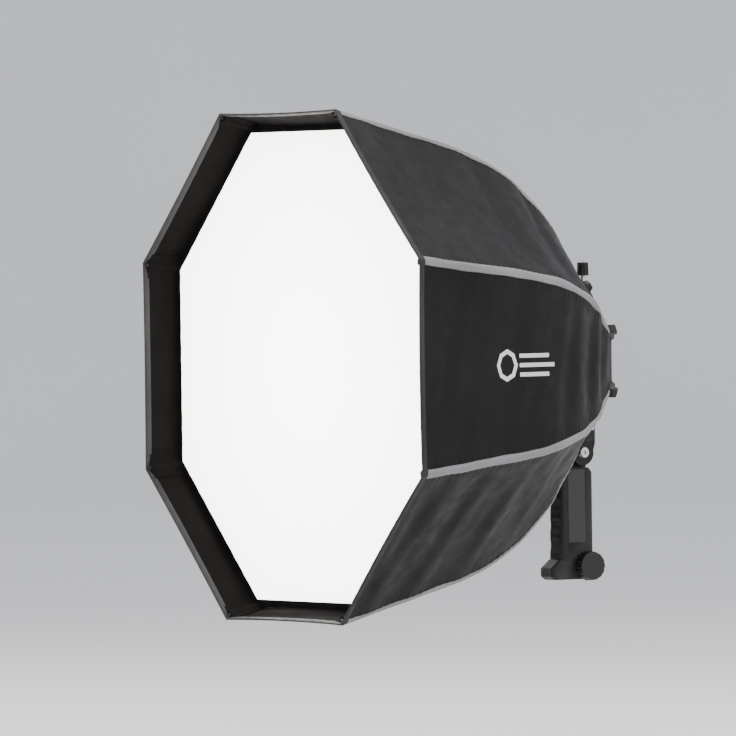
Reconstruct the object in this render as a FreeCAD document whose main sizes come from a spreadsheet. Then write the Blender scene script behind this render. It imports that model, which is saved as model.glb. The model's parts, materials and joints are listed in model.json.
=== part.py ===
import FreeCAD, Part
import math
import os
import Sketcher

# Folding octagonal softbox on a hand grip.
# Millimetres, +Z up. Origin: centre of the stand socket's mouth, under the grip.
# The softbox faces -Y, its axis is parallel to Y, and X = 0 is the mirror plane.

SIDES = 8

DIMENSIONS = {
    # Gaps: between pieces that touch, and all round a pin in its bore.
    "fit_gap": 0.05,
    "run_gap": 0.06,
    "skin": 0.1,
    # How far a cutting tool runs past the piece.
    "past": 2,
    # Angle between a corner of the octagon and the middle of a side.
    "half_sector": 22.5,
    # Shell: distance from the axis to a flat side at the rim, and where the rim and the axis lie.
    "flat_radius": 300,
    "rim_setback": 425,
    "axis_height": 262,
    # Corner line of the shell: two straights joined by a bend.
    "corner_radius": 324.7,
    "front_slope": 15.1,
    "rear_slope": 50,
    "bend_radius": 376.5,
    # Middle line of each side panel, seen square to the panel.
    "panel_front_slope": 14,
    "panel_rear_slope": 47.75,
    "panel_bend_radius": 380,
    "panel_throat_radius": 72,
    "panel_throat_y": -0.2,
    "cloth": 1.2,
    "seam_gap": 0.5,
    "notch_half_width": 7,
    "notch_radius": 103,
    # Diffusers.
    "diffuser_recess": 40,
    "diffuser_flat_radius": 278,
    "baffle_y": 224,
    "baffle_flat_radius": 196,
    # Rods.
    "rod_radius": 2.2,
    "rod_depth": 5,
    "rod_front_gap": 2,
    "rod_start": 22,
    "rod_rise": 13.8,
    # Hinge of each rod at the hub.
    "pivot_radius": 52,
    "pivot_y": -3,
    "eye_radius": 6,
    "knuckle_width": 11,
    "knuckle_length": 46,
    "knuckle_low": 6,
    "knuckle_high": 9,
    "knuckle_shoulder": 24,
    "nub_height": 5,
    "nub_foot": 14,
    "nub_back": 11,
    "nub_front": 3,
    "rivet_radius": 3.4,
    "rivet_shank": 1.5,
    "rivet_place": 28,
    # Hub.
    "hub_inner": 42,
    "hub_outer": 58,
    "hub_front_y": -13,
    "hub_back_y": 6,
    "slot_width": 11.8,
    "slot_bottom": 45.4,
    "pin_radius": 2,
    "pin_length": 25,
    "cover_radius": 60,
    "cover_thickness": 3,
    "lip_width": 3.5,
    "lip_thickness": 4.5,
    "screw_circle": 50,
    "screw_radius": 1.4,
    "screw_length": 6,
    "screw_head_radius": 2.7,
    "screw_head_height": 1.6,
    "screw_hole_gap": 0.2,
    "screw_hole_extra": 4,
    "lug_width": 30,
    "lug_bottom": 76,
    "lug_step": 1,
    "lug_front_y": 1.5,
    "lug_back_y": 9,
    "lug_screw_x": 8,
    "lug_screw_drop": 69,
    "lug_screw_radius": 2,
    "lug_screw_length": 12,
    "lug_screw_head": 3.5,
    "lug_screw_head_height": 2.5,
    "driver_slot": 1,
    "lug_screw_sink": 0.5,
    "collar_flat_radius": 71,
    # Flash clamp on top of the hub.
    "clamp_y": 9.6,
    "clamp_block_top": 70,
    "clamp_screw_radius": 2.5,
    "clamp_screw_wall": 5,
    "clamp_block_back": 2.5,
    "clamp_screw_seat": 7,
    "clamp_seat_gap": 1,
    "clamp_screw_reach": 42.4,
    "clamp_knob_radius": 7,
    "clamp_knob_base": 102,
    "clamp_knob_height": 16,
    # Tilt joint.
    "tilt_y": -4,
    "tilt_height": 152,
    "cheek_radius": 15.5,
    "cheek_inner": 8.2,
    "yoke_half_width": 15,
    "yoke_plate": 6,
    "yoke_plate_height": 22,
    "yoke_neck_inset": 1.5,
    "yoke_shoulder_rise": 14,
    "yoke_heel_drop": 2,
    "yoke_front_drop": 3,
    "yoke_brow_rise": 20,
    "yoke_round": 2.5,
    "tongue_half_width": 7.2,
    "bolt_radius": 4,
    "bolt_head_radius": 7.5,
    "bolt_head_height": 4,
    "bolt_end": 10,
    "hex_radius": 2.6,
    "hex_depth": 2.5,
    "washer_radius": 13,
    "tilt_knob_radius": 13,
    "tilt_knob_depth": 13,
    # Grip.
    "grip_half_width": 13.5,
    "grip_front": 28,
    "grip_back": 12,
    "grip_top": 134,
    "foot_height": 24,
    "toe_reach": 22,
    "toe_top": 14,
    "toe_step": 10,
    "toe_low": 4,
    "toe_chamfer": 5,
    "toe_round": 4,
    "spine_chamfer": 8,
    "spine_round": 6,
    "tongue_inset": 0.5,
    "neck_depth": 2,
    "neck_back": 8,
    "sleeve_back": 2,
    "plate_low": 44,
    "plate_thickness": 1.6,
    "plate_margin": 0.5,
    "plate_gap": 0.2,
    "plate_seat_depth": 4,
    "plate_back": -0.8,
    "first_finger": 41,
    "finger_pitch": 24,
    "finger_radius": 14,
    "finger_offset": 19.5,
    "sleeve_top_reach": 8,
    "sleeve_foot_reach": 10,
    "sleeve_top_drop": 4,
    "sleeve_round": 8,
    "socket_radius": 8.1,
    "socket_depth": 42,
    "bush_radius": 11,
    "bush_end": 2,
    "bush_seat_end": 3,
    # Stand clamp.
    "stand_knob_radius": 18,
    "stand_knob_depth": 11,
    "stand_knob_height": 16,
    "stand_knob_start": 17,
    "stand_screw_radius": 4,
    "stand_screw_tip": 8.7,
    "stand_screw_seat": 3.6,
    "stand_collar_wall": 4,
    "stand_collar_height": 3.2,
}
HALF_SECTOR = DIMENSIONS["half_sector"]

doc = FreeCAD.newDocument("softbox")
sheet = doc.addObject("Spreadsheet::Sheet", "Dim")
for row, (alias, value) in enumerate(DIMENSIONS.items(), start=1):
    sheet.set(f"A{row}", alias.replace("_", " "))
    sheet.set(f"B{row}", str(value))
    sheet.setAlias(f"B{row}", alias)
doc.recompute()

subparts = []
ZERO = "0"


def value(expression):
    """Number an expression on the dimension sheet gives."""
    result = sheet.evalExpression(str(expression))
    return float(getattr(result, "Value", result))


def bind(thing, **expressions):
    """Bind properties to expressions; place_x, place_y and place_z are the position."""
    for name, expression in expressions.items():
        if name.startswith("place_"):
            name = "Placement.Base." + name[-1]
        thing.setExpression(name, str(expression))
    return thing


def keep(thing, node):
    """Name an object as one of the sub-parts that is written out."""
    thing.Label = node
    subparts.append((thing, node))
    return thing


# ---------------------------------------------------------------- primitives

def box(name, length, width, height, at):
    """Box from its lowest corner."""
    thing = doc.addObject("Part::Box", name)
    bind(thing, Length=length, Width=width, Height=height)
    return bind(thing, place_x=at[0], place_y=at[1], place_z=at[2])


TURN = {
    "X": FreeCAD.Rotation(FreeCAD.Vector(0, 1, 0), 90),
    "Y": FreeCAD.Rotation(FreeCAD.Vector(1, 0, 0), -90),
    "Z": FreeCAD.Rotation(),
}


def cylinder(name, radius, height, at, axis="Z"):
    """Cylinder that starts at a point and runs along a row axis."""
    thing = doc.addObject("Part::Cylinder", name)
    thing.Placement = FreeCAD.Placement(FreeCAD.Vector(), TURN[axis])
    bind(thing, Radius=radius, Height=height)
    return bind(thing, place_x=at[0], place_y=at[1], place_z=at[2])


def cone(name, low_radius, high_radius, height, at, axis="Z"):
    """Cone frustum that starts at a point and runs along a row axis."""
    thing = doc.addObject("Part::Cone", name)
    thing.Placement = FreeCAD.Placement(FreeCAD.Vector(), TURN[axis])
    bind(thing, Radius1=low_radius, Radius2=high_radius, Height=height)
    return bind(thing, place_x=at[0], place_y=at[1], place_z=at[2])


def cut(name, base, tool):
    thing = doc.addObject("Part::Cut", name)
    thing.Base = base
    thing.Tool = tool
    return thing


def fuse(name, *pieces):
    thing = doc.addObject("Part::MultiFuse", name)
    thing.Shapes = list(pieces)
    return thing


def group(name, *pieces):
    """Separate solids of one kind kept as one sub-part."""
    thing = doc.addObject("Part::Compound", name)
    thing.Links = list(pieces)
    return thing


# ---------------------------------------------------------------- sketches

def origin_plane(body, role):
    return [item for item in body.Origin.OriginFeatures if item.Role == role][0]


def new_sketch(body, name, role, offset=0):
    """Sketch on one of the body's own planes, moved along the plane's normal."""
    sketch = body.newObject("Sketcher::SketchObject", name)
    sketch.AttachmentSupport = [(origin_plane(body, role), "")]
    sketch.MapMode = "FlatFace"
    sketch.setExpression("AttachmentOffset.Base.z", str(offset))
    return sketch


def fix_point(sketch, geometry, point, x, y):
    """Tie one point of a sketch to expressions for its two coordinates."""
    for kind, expression in (("DistanceX", x), ("DistanceY", y)):
        index = sketch.addConstraint(
            Sketcher.Constraint(kind, geometry, point, value(expression)))
        sketch.setExpression(f"Constraints[{index}]", str(expression))


def outline(body, name, role, corners, offset=0):
    """Closed outline of straight edges; each corner is a pair of expressions."""
    sketch = new_sketch(body, name, role, offset)
    points = [FreeCAD.Vector(value(x), value(y), 0) for x, y in corners]
    count = len(points)
    for index in range(count):
        sketch.addGeometry(Part.LineSegment(points[index], points[(index + 1) % count]))
    for index in range(count):
        sketch.addConstraint(
            Sketcher.Constraint("Coincident", index, 2, (index + 1) % count, 1))
        fix_point(sketch, index, 1, *corners[index])
    return sketch


def ring_sketch(body, name, role, circles, offset=0):
    """Circles of a sketch, each as (x, y, radius) expressions."""
    sketch = new_sketch(body, name, role, offset)
    for x, y, radius in circles:
        circle = sketch.addGeometry(Part.Circle(
            FreeCAD.Vector(value(x), value(y), 0), FreeCAD.Vector(0, 0, 1), value(radius)))
        fix_point(sketch, circle, 3, x, y)
        index = sketch.addConstraint(Sketcher.Constraint("Radius", circle, value(radius)))
        sketch.setExpression(f"Constraints[{index}]", str(radius))
    return sketch


def pad(body, name, sketch, length, both_ways=False, backwards=False):
    feature = body.newObject("PartDesign::Pad", name)
    feature.Profile = sketch
    feature.setExpression("Length", str(length))
    feature.Midplane = both_ways
    feature.Reversed = backwards
    doc.recompute()
    return feature


def pocket(body, name, sketch, length=None, both_ways=False, backwards=False):
    """Cut; without a length it goes right through. A cut that removes nothing is an error."""
    before = body.Shape.Volume
    feature = body.newObject("PartDesign::Pocket", name)
    feature.Profile = sketch
    if length is None:
        feature.Type = "ThroughAll"
    else:
        feature.setExpression("Length", str(length))
    feature.Midplane = both_ways
    feature.Reversed = backwards
    doc.recompute()
    if body.Shape.Volume > before - 0.01:
        raise ValueError(f"{name} cuts nothing from {body.Name}")
    return feature


def round_edges(body, name, radius, wanted):
    """Fillet the body's edges that pass a test."""
    tip = body.Tip
    edges = [f"Edge{number}" for number, edge in enumerate(tip.Shape.Edges, start=1)
             if wanted(edge)]
    feature = body.newObject("PartDesign::Fillet", name)
    feature.Base = (tip, edges)
    feature.setExpression("Radius", str(radius))
    doc.recompute()
    return feature


def bent_line(sketch, front, first_slope, radius, second_slope, rear):
    """Straight, bend, straight from the rim end to the throat end of the shell.

    front and rear are pairs of expressions (distance from the axis, y); the slopes are
    expressions in degrees away from the axis.
    """
    first = math.radians(value(first_slope))
    second = math.radians(value(second_slope))
    bend = value(radius)
    x0, y0 = (value(part) for part in front)
    x3, y3 = (value(part) for part in rear)
    # Where the two straights would cross.
    knee_y = ((x0 - x3) + y0 * math.tan(first) - y3 * math.tan(second)) \
        / (math.tan(first) - math.tan(second))
    knee_x = x0 - (knee_y - y0) * math.tan(first)
    reach = bend * math.tan((second - first) / 2)
    x1 = knee_x + reach * math.sin(first)
    y1 = knee_y - reach * math.cos(first)
    x2 = knee_x - reach * math.sin(second)
    y2 = knee_y + reach * math.cos(second)
    centre = FreeCAD.Vector(x1 - bend * math.cos(first), y1 - bend * math.sin(first), 0)
    point = FreeCAD.Vector
    straight = sketch.addGeometry(Part.LineSegment(point(x0, y0, 0), point(x1, y1, 0)))
    circle = Part.Circle(centre, FreeCAD.Vector(0, 0, 1), bend)
    arc = sketch.addGeometry(Part.ArcOfCircle(circle, first, second))
    back = sketch.addGeometry(Part.LineSegment(point(x2, y2, 0), point(x3, y3, 0)))
    sketch.addConstraint(Sketcher.Constraint("Tangent", straight, 2, arc, 1))
    sketch.addConstraint(Sketcher.Constraint("Tangent", arc, 2, back, 1))
    fix_point(sketch, straight, 1, *front)
    fix_point(sketch, back, 2, *rear)
    for line, slope in ((straight, first_slope), (back, second_slope)):
        index = sketch.addConstraint(Sketcher.Constraint(
            "Angle", line, math.radians(90 + value(slope))))
        sketch.setExpression(f"Constraints[{index}]", f"(90 + {slope}) * 1 deg")
    index = sketch.addConstraint(Sketcher.Constraint("Radius", arc, bend))
    sketch.setExpression(f"Constraints[{index}]", str(radius))
    return straight, back


# ---------------------------------------------------------------- places

def around_axis(angle):
    """Placement of a piece drawn with X away from the axis, at an angle from +X towards +Z."""
    turn = FreeCAD.Rotation(FreeCAD.Vector(0, 1, 0), -angle)
    return FreeCAD.Placement(FreeCAD.Vector(0, 0, value("Dim.axis_height")), turn)


def corner_angle(number):
    """Angle of corner rib 1 to 8."""
    return HALF_SECTOR + (number - 1) * 2 * HALF_SECTOR


def lift(thing):
    """Move a finished hub-centred piece up onto the softbox axis."""
    bind(thing, place_z="Dim.axis_height")
    return thing


# ---------------------------------------------------------------- shell

def half_panel(number, side):
    """Half of a side panel: from rib `number` to the fold line on its upper (+1) or lower
    (-1) side, counted around the axis."""
    node = f"panel_{number}_{'after' if side > 0 else 'before'}"
    body = doc.addObject("PartDesign::Body", node)
    length = "Dim.flat_radius * 0.5"
    # Outer face of the cloth, closed down to the axis, then its inner face taken away.
    for name, depth in (("outer", "0"), ("inner", "Dim.cloth")):
        sketch = new_sketch(body, f"{name}_{node}", "XY_Plane")
        radius_front = f"Dim.flat_radius - {depth} / cos(Dim.panel_front_slope)"
        radius_rear = f"Dim.panel_throat_radius - {depth} / cos(Dim.panel_rear_slope)"
        straight, back = bent_line(
            sketch,
            (radius_front, "-Dim.rim_setback"), "Dim.panel_front_slope",
            f"Dim.panel_bend_radius - {depth}", "Dim.panel_rear_slope",
            (radius_rear, "Dim.panel_throat_y"))
        front_x, rear_x = value(radius_front), value(radius_rear)
        front_y, rear_y = value("-Dim.rim_setback"), value("Dim.panel_throat_y")
        point = FreeCAD.Vector
        chain = [point(rear_x, rear_y, 0), point(0, rear_y, 0), point(0, front_y, 0),
                 point(front_x, front_y, 0)]
        lines = [sketch.addGeometry(Part.LineSegment(chain[i], chain[i + 1]))
                 for i in range(3)]
        order = [back] + lines + [straight]
        for first, second in zip(order, order[1:]):
            sketch.addConstraint(Sketcher.Constraint("Coincident", first, 2, second, 1))
        sketch.addConstraint(Sketcher.Constraint("Horizontal", lines[0]))
        sketch.addConstraint(Sketcher.Constraint("Horizontal", lines[2]))
        sketch.addConstraint(Sketcher.Constraint("PointOnObject", lines[1], 1, -2))
        sketch.addConstraint(Sketcher.Constraint("PointOnObject", lines[1], 2, -2))
        if name == "outer":
            pad(body, f"pad_{node}", sketch, length, backwards=side > 0)
        else:
            pocket(body, f"hollow_{node}", sketch, length, backwards=side < 0)
    # The panel stops half a seam gap short of the fold line and of the rib's plane.
    far = "Dim.flat_radius * 1.2"
    top = f"({far}) * tan(Dim.half_sector) - Dim.seam_gap"
    wedge = outline(body, f"wedge_{node}", "XZ_Plane", [
        (ZERO, f"{-side} * (-Dim.seam_gap)"),
        (far, f"{-side} * ({top})"),
        (far, f"{-side} * ({far})"),
        (ZERO, f"{-side} * ({far})")])
    pocket(body, f"trim_{node}", wedge, "Dim.rim_setback * 3", both_ways=True)
    fold = outline(body, f"fold_{node}", "XZ_Plane", [
        ("-1", "-Dim.seam_gap"), (far, "-Dim.seam_gap"),
        (far, "Dim.seam_gap"), ("-1", "Dim.seam_gap")])
    pocket(body, f"gap_{node}", fold, "Dim.rim_setback * 3", both_ways=True)
    # Notch where the rod's knuckle comes out through the corner.
    reach = "Dim.notch_radius * cos(Dim.half_sector)"
    mouth = "(Dim.panel_throat_radius - Dim.past * 2)"
    width = "Dim.notch_half_width / cos(Dim.half_sector)"
    inner = f"{mouth} * tan(Dim.half_sector) - {width}"
    outer = f"Dim.notch_radius * sin(Dim.half_sector) - {width}"
    notch = outline(body, f"notch_{node}", "XZ_Plane", [
        (mouth, f"{-side} * ({inner})"),
        (reach, f"{-side} * ({outer})"),
        (reach, f"{-side} * (Dim.notch_radius)"),
        (mouth, f"{-side} * Dim.notch_radius")])
    pocket(body, f"window_{node}", notch, "Dim.rim_setback * 3", both_ways=True)
    body.Placement = around_axis(corner_angle(number) + side * HALF_SECTOR)
    return keep(body, node)


def octagon(thickness, flat, front_y, node):
    """Flat octagonal cloth across the shell."""
    body = doc.addObject("PartDesign::Body", node)
    corners = []
    for number in range(SIDES):
        angle = HALF_SECTOR + number * 2 * HALF_SECTOR
        corners.append((f"{flat} / cos(Dim.half_sector) * cos({angle})",
                        f"{flat} / cos(Dim.half_sector) * sin({angle})"))
    sketch = outline(body, f"outline_{node}", "XZ_Plane", corners, front_y)
    pad(body, f"pad_{node}", sketch, thickness)
    body.Placement = FreeCAD.Placement(
        FreeCAD.Vector(0, 0, value("Dim.axis_height")), FreeCAD.Rotation())
    return keep(body, node)


# ---------------------------------------------------------------- ribs

def rod(number):
    """Bowed rod that holds one corner of the shell, just inside the seam."""
    node = f"rib_{number}"
    body = doc.addObject("PartDesign::Body", node)
    path = new_sketch(body, f"path_{node}", "XY_Plane")
    front_y = "-Dim.rim_setback + Dim.rod_front_gap"
    front_x = ("Dim.corner_radius - Dim.rod_front_gap * tan(Dim.front_slope)"
               " - Dim.rod_depth / cos(Dim.front_slope)")
    bent_line(
        path, (front_x, front_y), "Dim.front_slope", "Dim.bend_radius - Dim.rod_depth",
        "Dim.rear_slope",
        ("Dim.pivot_radius + Dim.rod_start * sin(Dim.rear_slope)"
         " + Dim.rod_rise * cos(Dim.rear_slope)",
         "Dim.pivot_y - Dim.rod_start * cos(Dim.rear_slope)"
         " + Dim.rod_rise * sin(Dim.rear_slope)"))
    section = new_sketch(body, f"section_{node}", "XZ_Plane")
    slope = value("Dim.front_slope")
    section.AttachmentOffset = FreeCAD.Placement(
        FreeCAD.Vector(value(front_x), 0, -value(front_y)),
        FreeCAD.Rotation(FreeCAD.Vector(0, 1, 0), slope))
    section.setExpression("AttachmentOffset.Base.x", front_x)
    section.setExpression("AttachmentOffset.Base.z", f"-({front_y})")
    circle = section.addGeometry(Part.Circle(
        FreeCAD.Vector(), FreeCAD.Vector(0, 0, 1), value("Dim.rod_radius")))
    section.addConstraint(Sketcher.Constraint("Coincident", circle, 3, -1, 1))
    index = section.addConstraint(
        Sketcher.Constraint("Radius", circle, value("Dim.rod_radius")))
    section.setExpression(f"Constraints[{index}]", "Dim.rod_radius")
    pipe = body.newObject("PartDesign::AdditivePipe", f"pipe_{node}")
    pipe.Profile = section
    pipe.Spine = path
    doc.recompute()
    body.Placement = around_axis(corner_angle(number))
    return keep(body, node)


def along_rod(number):
    """Placement of a piece drawn from the rod's hinge, with X along the rod, Y out of the
    shell and Z across the rod."""
    hinge = FreeCAD.Vector(value("Dim.pivot_radius"), value("Dim.pivot_y"), 0)
    slope = value("Dim.rear_slope")
    turn = FreeCAD.Rotation(FreeCAD.Vector(0, 0, 1), slope - 90)
    return around_axis(corner_angle(number)).multiply(FreeCAD.Placement(hinge, turn))


def knuckle(number):
    """Moulded arm between a rod and its hinge pin, with a raised end."""
    node = f"rib_knuckle_{number}"
    body = doc.addObject("PartDesign::Body", node)
    eye = ring_sketch(body, f"eye_{node}", "XY_Plane", [(ZERO, ZERO, "Dim.eye_radius")])
    pad(body, f"eye_pad_{node}", eye, "Dim.knuckle_width", both_ways=True)
    top = "Dim.rod_rise + Dim.knuckle_high"
    bar = outline(body, f"bar_{node}", "XY_Plane", [
        (ZERO, "-Dim.eye_radius"),
        ("Dim.knuckle_shoulder", "Dim.rod_rise - Dim.knuckle_low"),
        ("Dim.knuckle_length", "Dim.rod_rise - Dim.knuckle_low"),
        ("Dim.knuckle_length", top),
        ("Dim.knuckle_length - Dim.nub_front", f"{top} + Dim.nub_height"),
        ("Dim.knuckle_length - Dim.nub_back", f"{top} + Dim.nub_height"),
        ("Dim.knuckle_length - Dim.nub_foot", top),
        ("Dim.knuckle_shoulder", top),
        (ZERO, "Dim.eye_radius")])
    pad(body, f"bar_pad_{node}", bar, "Dim.knuckle_width", both_ways=True)

    def outer_edge(edge):
        """Long edges on the two outer corners of the arm, clear of the eye."""
        span = edge.BoundBox
        return span.ZLength < 0.01 and span.YMin > value(top) - 0.1

    round_edges(body, f"soft_{node}", "Dim.knuckle_width * 0.2", outer_edge)
    hole = ring_sketch(body, f"hole_{node}", "XY_Plane",
                       [(ZERO, ZERO, "Dim.pin_radius + Dim.run_gap")])
    pocket(body, f"bore_{node}", hole, "Dim.knuckle_width * 2", both_ways=True)
    socket = ring_sketch(body, f"socket_{node}", "YZ_Plane",
                         [("Dim.rod_rise", ZERO, "Dim.rod_radius + Dim.fit_gap")],
                         "Dim.rod_start - Dim.fit_gap * 10")
    pocket(body, f"rod_bore_{node}", socket, "Dim.knuckle_length", backwards=True)
    seat = ring_sketch(body, f"seat_{node}", "XZ_Plane",
                       [("Dim.rivet_place", ZERO, "Dim.rivet_shank + Dim.fit_gap")],
                       f"-({top}) - Dim.past")
    pocket(body, f"seat_cut_{node}", seat, "Dim.knuckle_high * 0.6 + Dim.past",
           backwards=True)
    body.Placement = along_rod(number)
    return keep(body, node)


def rivet(number):
    """Domed rivet on the outer face of a knuckle, its shank sunk into the arm."""
    node = f"rib_rivet_{number}"
    body = doc.addObject("PartDesign::Body", node)
    top = "Dim.rod_rise + Dim.knuckle_high"
    shank = ring_sketch(body, f"shank_{node}", "XZ_Plane",
                        [("Dim.rivet_place", ZERO, "Dim.rivet_shank")],
                        f"-({top}) - Dim.fit_gap * 2")
    pad(body, f"shank_pad_{node}", shank, "Dim.knuckle_high * 0.5")
    head = ring_sketch(body, f"head_{node}", "XZ_Plane",
                       [("Dim.rivet_place", ZERO, "Dim.rivet_radius")],
                       f"-({top}) - Dim.fit_gap")
    pad(body, f"head_pad_{node}", head, "Dim.rivet_radius * 0.5", backwards=True)
    crown = value(f"{top} + Dim.fit_gap + Dim.rivet_radius * 0.5")
    round_edges(body, f"dome_{node}", "Dim.rivet_radius * 0.4",
                lambda edge: abs(edge.BoundBox.YMin - crown) < 0.01
                and edge.BoundBox.YLength < 0.01)
    body.Placement = along_rod(number)
    return keep(body, node)


# ---------------------------------------------------------------- hub

def around_hub(angle, x=0.0, y=0.0, z=0.0):
    """Placement in the hub's own frame: x out from the axis at an angle, y along the axis."""
    turn = FreeCAD.Rotation(FreeCAD.Vector(0, 1, 0), -angle)
    local = FreeCAD.Placement(FreeCAD.Vector(x, y, z), FreeCAD.Rotation())
    return FreeCAD.Placement(FreeCAD.Vector(), turn).multiply(local)


def rib_slots():
    """One open slot in the hub for each knuckle."""
    slots = []
    for number in range(1, SIDES + 1):
        slot = doc.addObject("Part::Box", f"slot_{number}")
        bind(slot, Length="Dim.hub_outer - Dim.slot_bottom + Dim.past",
             Width="Dim.hub_back_y - Dim.hub_front_y + Dim.past * 2",
             Height="Dim.slot_width")
        slot.Placement = around_hub(
            corner_angle(number), value("Dim.slot_bottom"),
            value("Dim.hub_front_y - Dim.past"), value("-Dim.slot_width / 2"))
        slots.append(slot)
    return slots


def pin_rods(name, radius, length):
    """One short cylinder across each slot, on the hinge line of its rod."""
    rods = []
    for number in range(1, SIDES + 1):
        pin = doc.addObject("Part::Cylinder", f"{name}_{number}")
        bind(pin, Radius=radius, Height=length)
        pin.Placement = around_hub(
            corner_angle(number), value("Dim.pivot_radius"), value("Dim.pivot_y"),
            -value(length) / 2)
        rods.append(pin)
    return rods


def cover_screws(name, radius, length, start):
    """Cylinders along the softbox axis behind the middle of the sides, except at the top
    and the bottom, where the clamp block and the lug are."""
    pieces = []
    for number in (0, 1, 3, 4, 5, 7):
        piece = doc.addObject("Part::Cylinder", f"{name}_{number + 1}")
        bind(piece, Radius=radius, Height=length)
        turn = FreeCAD.Placement(FreeCAD.Vector(), TURN["Y"])
        piece.Placement = around_hub(
            number * 2 * HALF_SECTOR, value("Dim.screw_circle"), value(start)).multiply(turn)
        pieces.append(piece)
    return pieces


LUG_SCREW_PLACES = ("Dim.lug_screw_x", "-Dim.lug_screw_x")


def hub_ring():
    """Moulded ring that takes the flash head and carries the eight rod hinges."""
    depth = "Dim.hub_back_y - Dim.hub_front_y"
    outside = cylinder("hub_outside", "Dim.hub_outer", depth,
                       ("0", "Dim.hub_front_y", "0"), "Y")
    lowest = ("-Dim.lug_width / 2", "Dim.lug_front_y", "-Dim.lug_bottom")
    lug = box("hub_lug", "Dim.lug_width", "Dim.hub_back_y - Dim.lug_front_y",
              "Dim.lug_bottom - Dim.screw_circle", lowest)
    foot = box("hub_lug_foot", "Dim.lug_width", "Dim.lug_back_y - Dim.lug_front_y",
               "Dim.lug_bottom - Dim.cover_radius - Dim.lug_step", lowest)
    solid = fuse("hub_solid", outside, lug, foot)
    opening = cylinder("hub_opening", "Dim.hub_inner", f"{depth} + Dim.past * 2",
                       ("0", "Dim.hub_front_y - Dim.past", "0"), "Y")
    # The lug's screws end inside it; their holes run the screw's length plus a little.
    lug_holes = [
        cylinder(f"lug_hole_{number}", "Dim.lug_screw_radius + Dim.run_gap",
                 "Dim.lug_screw_length",
                 (x, "Dim.lug_back_y - Dim.yoke_plate", "-Dim.lug_screw_drop"), "Y")
        for number, x in enumerate(LUG_SCREW_PLACES, start=1)]
    holes = fuse("hub_holes", opening, *lug_holes, *rib_slots(),
                 *pin_rods("pin_hole", "Dim.pin_radius + Dim.fit_gap / 2",
                           "Dim.pin_length + Dim.fit_gap * 10"),
                 *cover_screws("cover_hole", "Dim.screw_radius + Dim.fit_gap",
                               "Dim.screw_length + Dim.screw_hole_extra",
                               "Dim.hub_back_y - Dim.screw_length - Dim.past"))
    return keep(lift(cut("hub_ring_body", solid, holes)), "hub_ring")


def hub_pins():
    """Steel hinge pins, one for each rod."""
    pins = pin_rods("pin", "Dim.pin_radius", "Dim.pin_length")
    return keep(lift(group("hub_pins_group", *pins)), "hub_pins")


def hub_cover():
    """Plate on the back of the hub, with the block that carries the clamp screw."""
    start = "(Dim.hub_back_y + Dim.fit_gap)"
    plate = cylinder("cover_plate", "Dim.cover_radius", "Dim.cover_thickness",
                     ("0", start, "0"), "Y")
    lip = cylinder("cover_lip", "Dim.hub_inner + Dim.lip_width", "Dim.lip_thickness",
                   ("0", start, "0"), "Y")
    wall = "(Dim.clamp_screw_radius + Dim.clamp_screw_wall)"
    block_depth = f"Dim.clamp_y + Dim.clamp_screw_radius + Dim.clamp_block_back - {start}"
    block = box("clamp_block", f"{wall} * 2", block_depth,
                f"Dim.clamp_block_top - Dim.hub_inner + {wall}",
                (f"-{wall}", start, f"Dim.hub_inner - {wall}"))
    outside = fuse("cover_outside", plate, lip, block)
    opening = cylinder("cover_opening", "Dim.hub_inner", f"{block_depth} + Dim.past * 2",
                       ("0", "Dim.hub_back_y - Dim.past", "0"), "Y")
    thread = cylinder("clamp_thread", "Dim.clamp_screw_radius + Dim.run_gap",
                      "Dim.clamp_block_top",
                      ("0", "Dim.clamp_y", "Dim.hub_inner - Dim.past"))
    holes = fuse("cover_holes", opening, thread,
                 *cover_screws("plate_hole", "Dim.screw_radius + Dim.screw_hole_gap",
                               "Dim.cover_thickness + Dim.past * 2",
                               "Dim.hub_back_y - Dim.past"))
    return keep(lift(cut("hub_cover_body", outside, holes)), "hub_cover")


def throat_collar():
    """Cloth ring between the rear edge of the shell and the hub, open at each knuckle."""
    prism = doc.addObject("Part::Prism", "collar_prism")
    prism.Polygon = SIDES
    bind(prism, Circumradius="Dim.collar_flat_radius / cos(Dim.half_sector)", Height="Dim.cloth")
    prism.Placement = FreeCAD.Placement(
        FreeCAD.Vector(0, value("Dim.panel_throat_y + Dim.fit_gap * 2"), 0),
        FreeCAD.Rotation(FreeCAD.Vector(0, 1, 0), HALF_SECTOR).multiply(TURN["Y"]))
    depth = "Dim.hub_back_y - Dim.hub_front_y"
    opening = cylinder("collar_opening", "Dim.hub_outer + Dim.seam_gap", depth,
                       ("0", "Dim.hub_front_y", "0"), "Y")
    windows = []
    for number in range(1, SIDES + 1):
        window = doc.addObject("Part::Box", f"collar_window_{number}")
        bind(window, Length="Dim.hub_outer", Width=depth, Height="Dim.notch_half_width * 2")
        window.Placement = around_hub(
            corner_angle(number), value("Dim.pivot_radius"), value("Dim.hub_front_y"),
            value("-Dim.notch_half_width"))
        windows.append(window)
    holes = fuse("collar_holes", opening, *windows)
    return keep(lift(cut("throat_collar_body", prism, holes)), "throat_collar")


def hub_screws():
    """Small screws that hold the cover."""
    shanks = cover_screws("cover_shank", "Dim.screw_radius",
                          "Dim.screw_length + Dim.cover_thickness + Dim.fit_gap * 3",
                          "Dim.hub_back_y - Dim.screw_length")
    heads = cover_screws("cover_head", "Dim.screw_head_radius", "Dim.screw_head_height",
                         "Dim.hub_back_y + Dim.cover_thickness + Dim.fit_gap * 2")
    screws = [fuse(f"cover_screw_{number}", shank, head)
              for number, (shank, head) in enumerate(zip(shanks, heads), start=1)]
    return keep(lift(group("hub_screws_group", *screws)), "hub_screws")


KNOB_TAPER = 0.94
FLUTE_RADIUS = 0.16
FLUTE_REACH = 1.07


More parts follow.
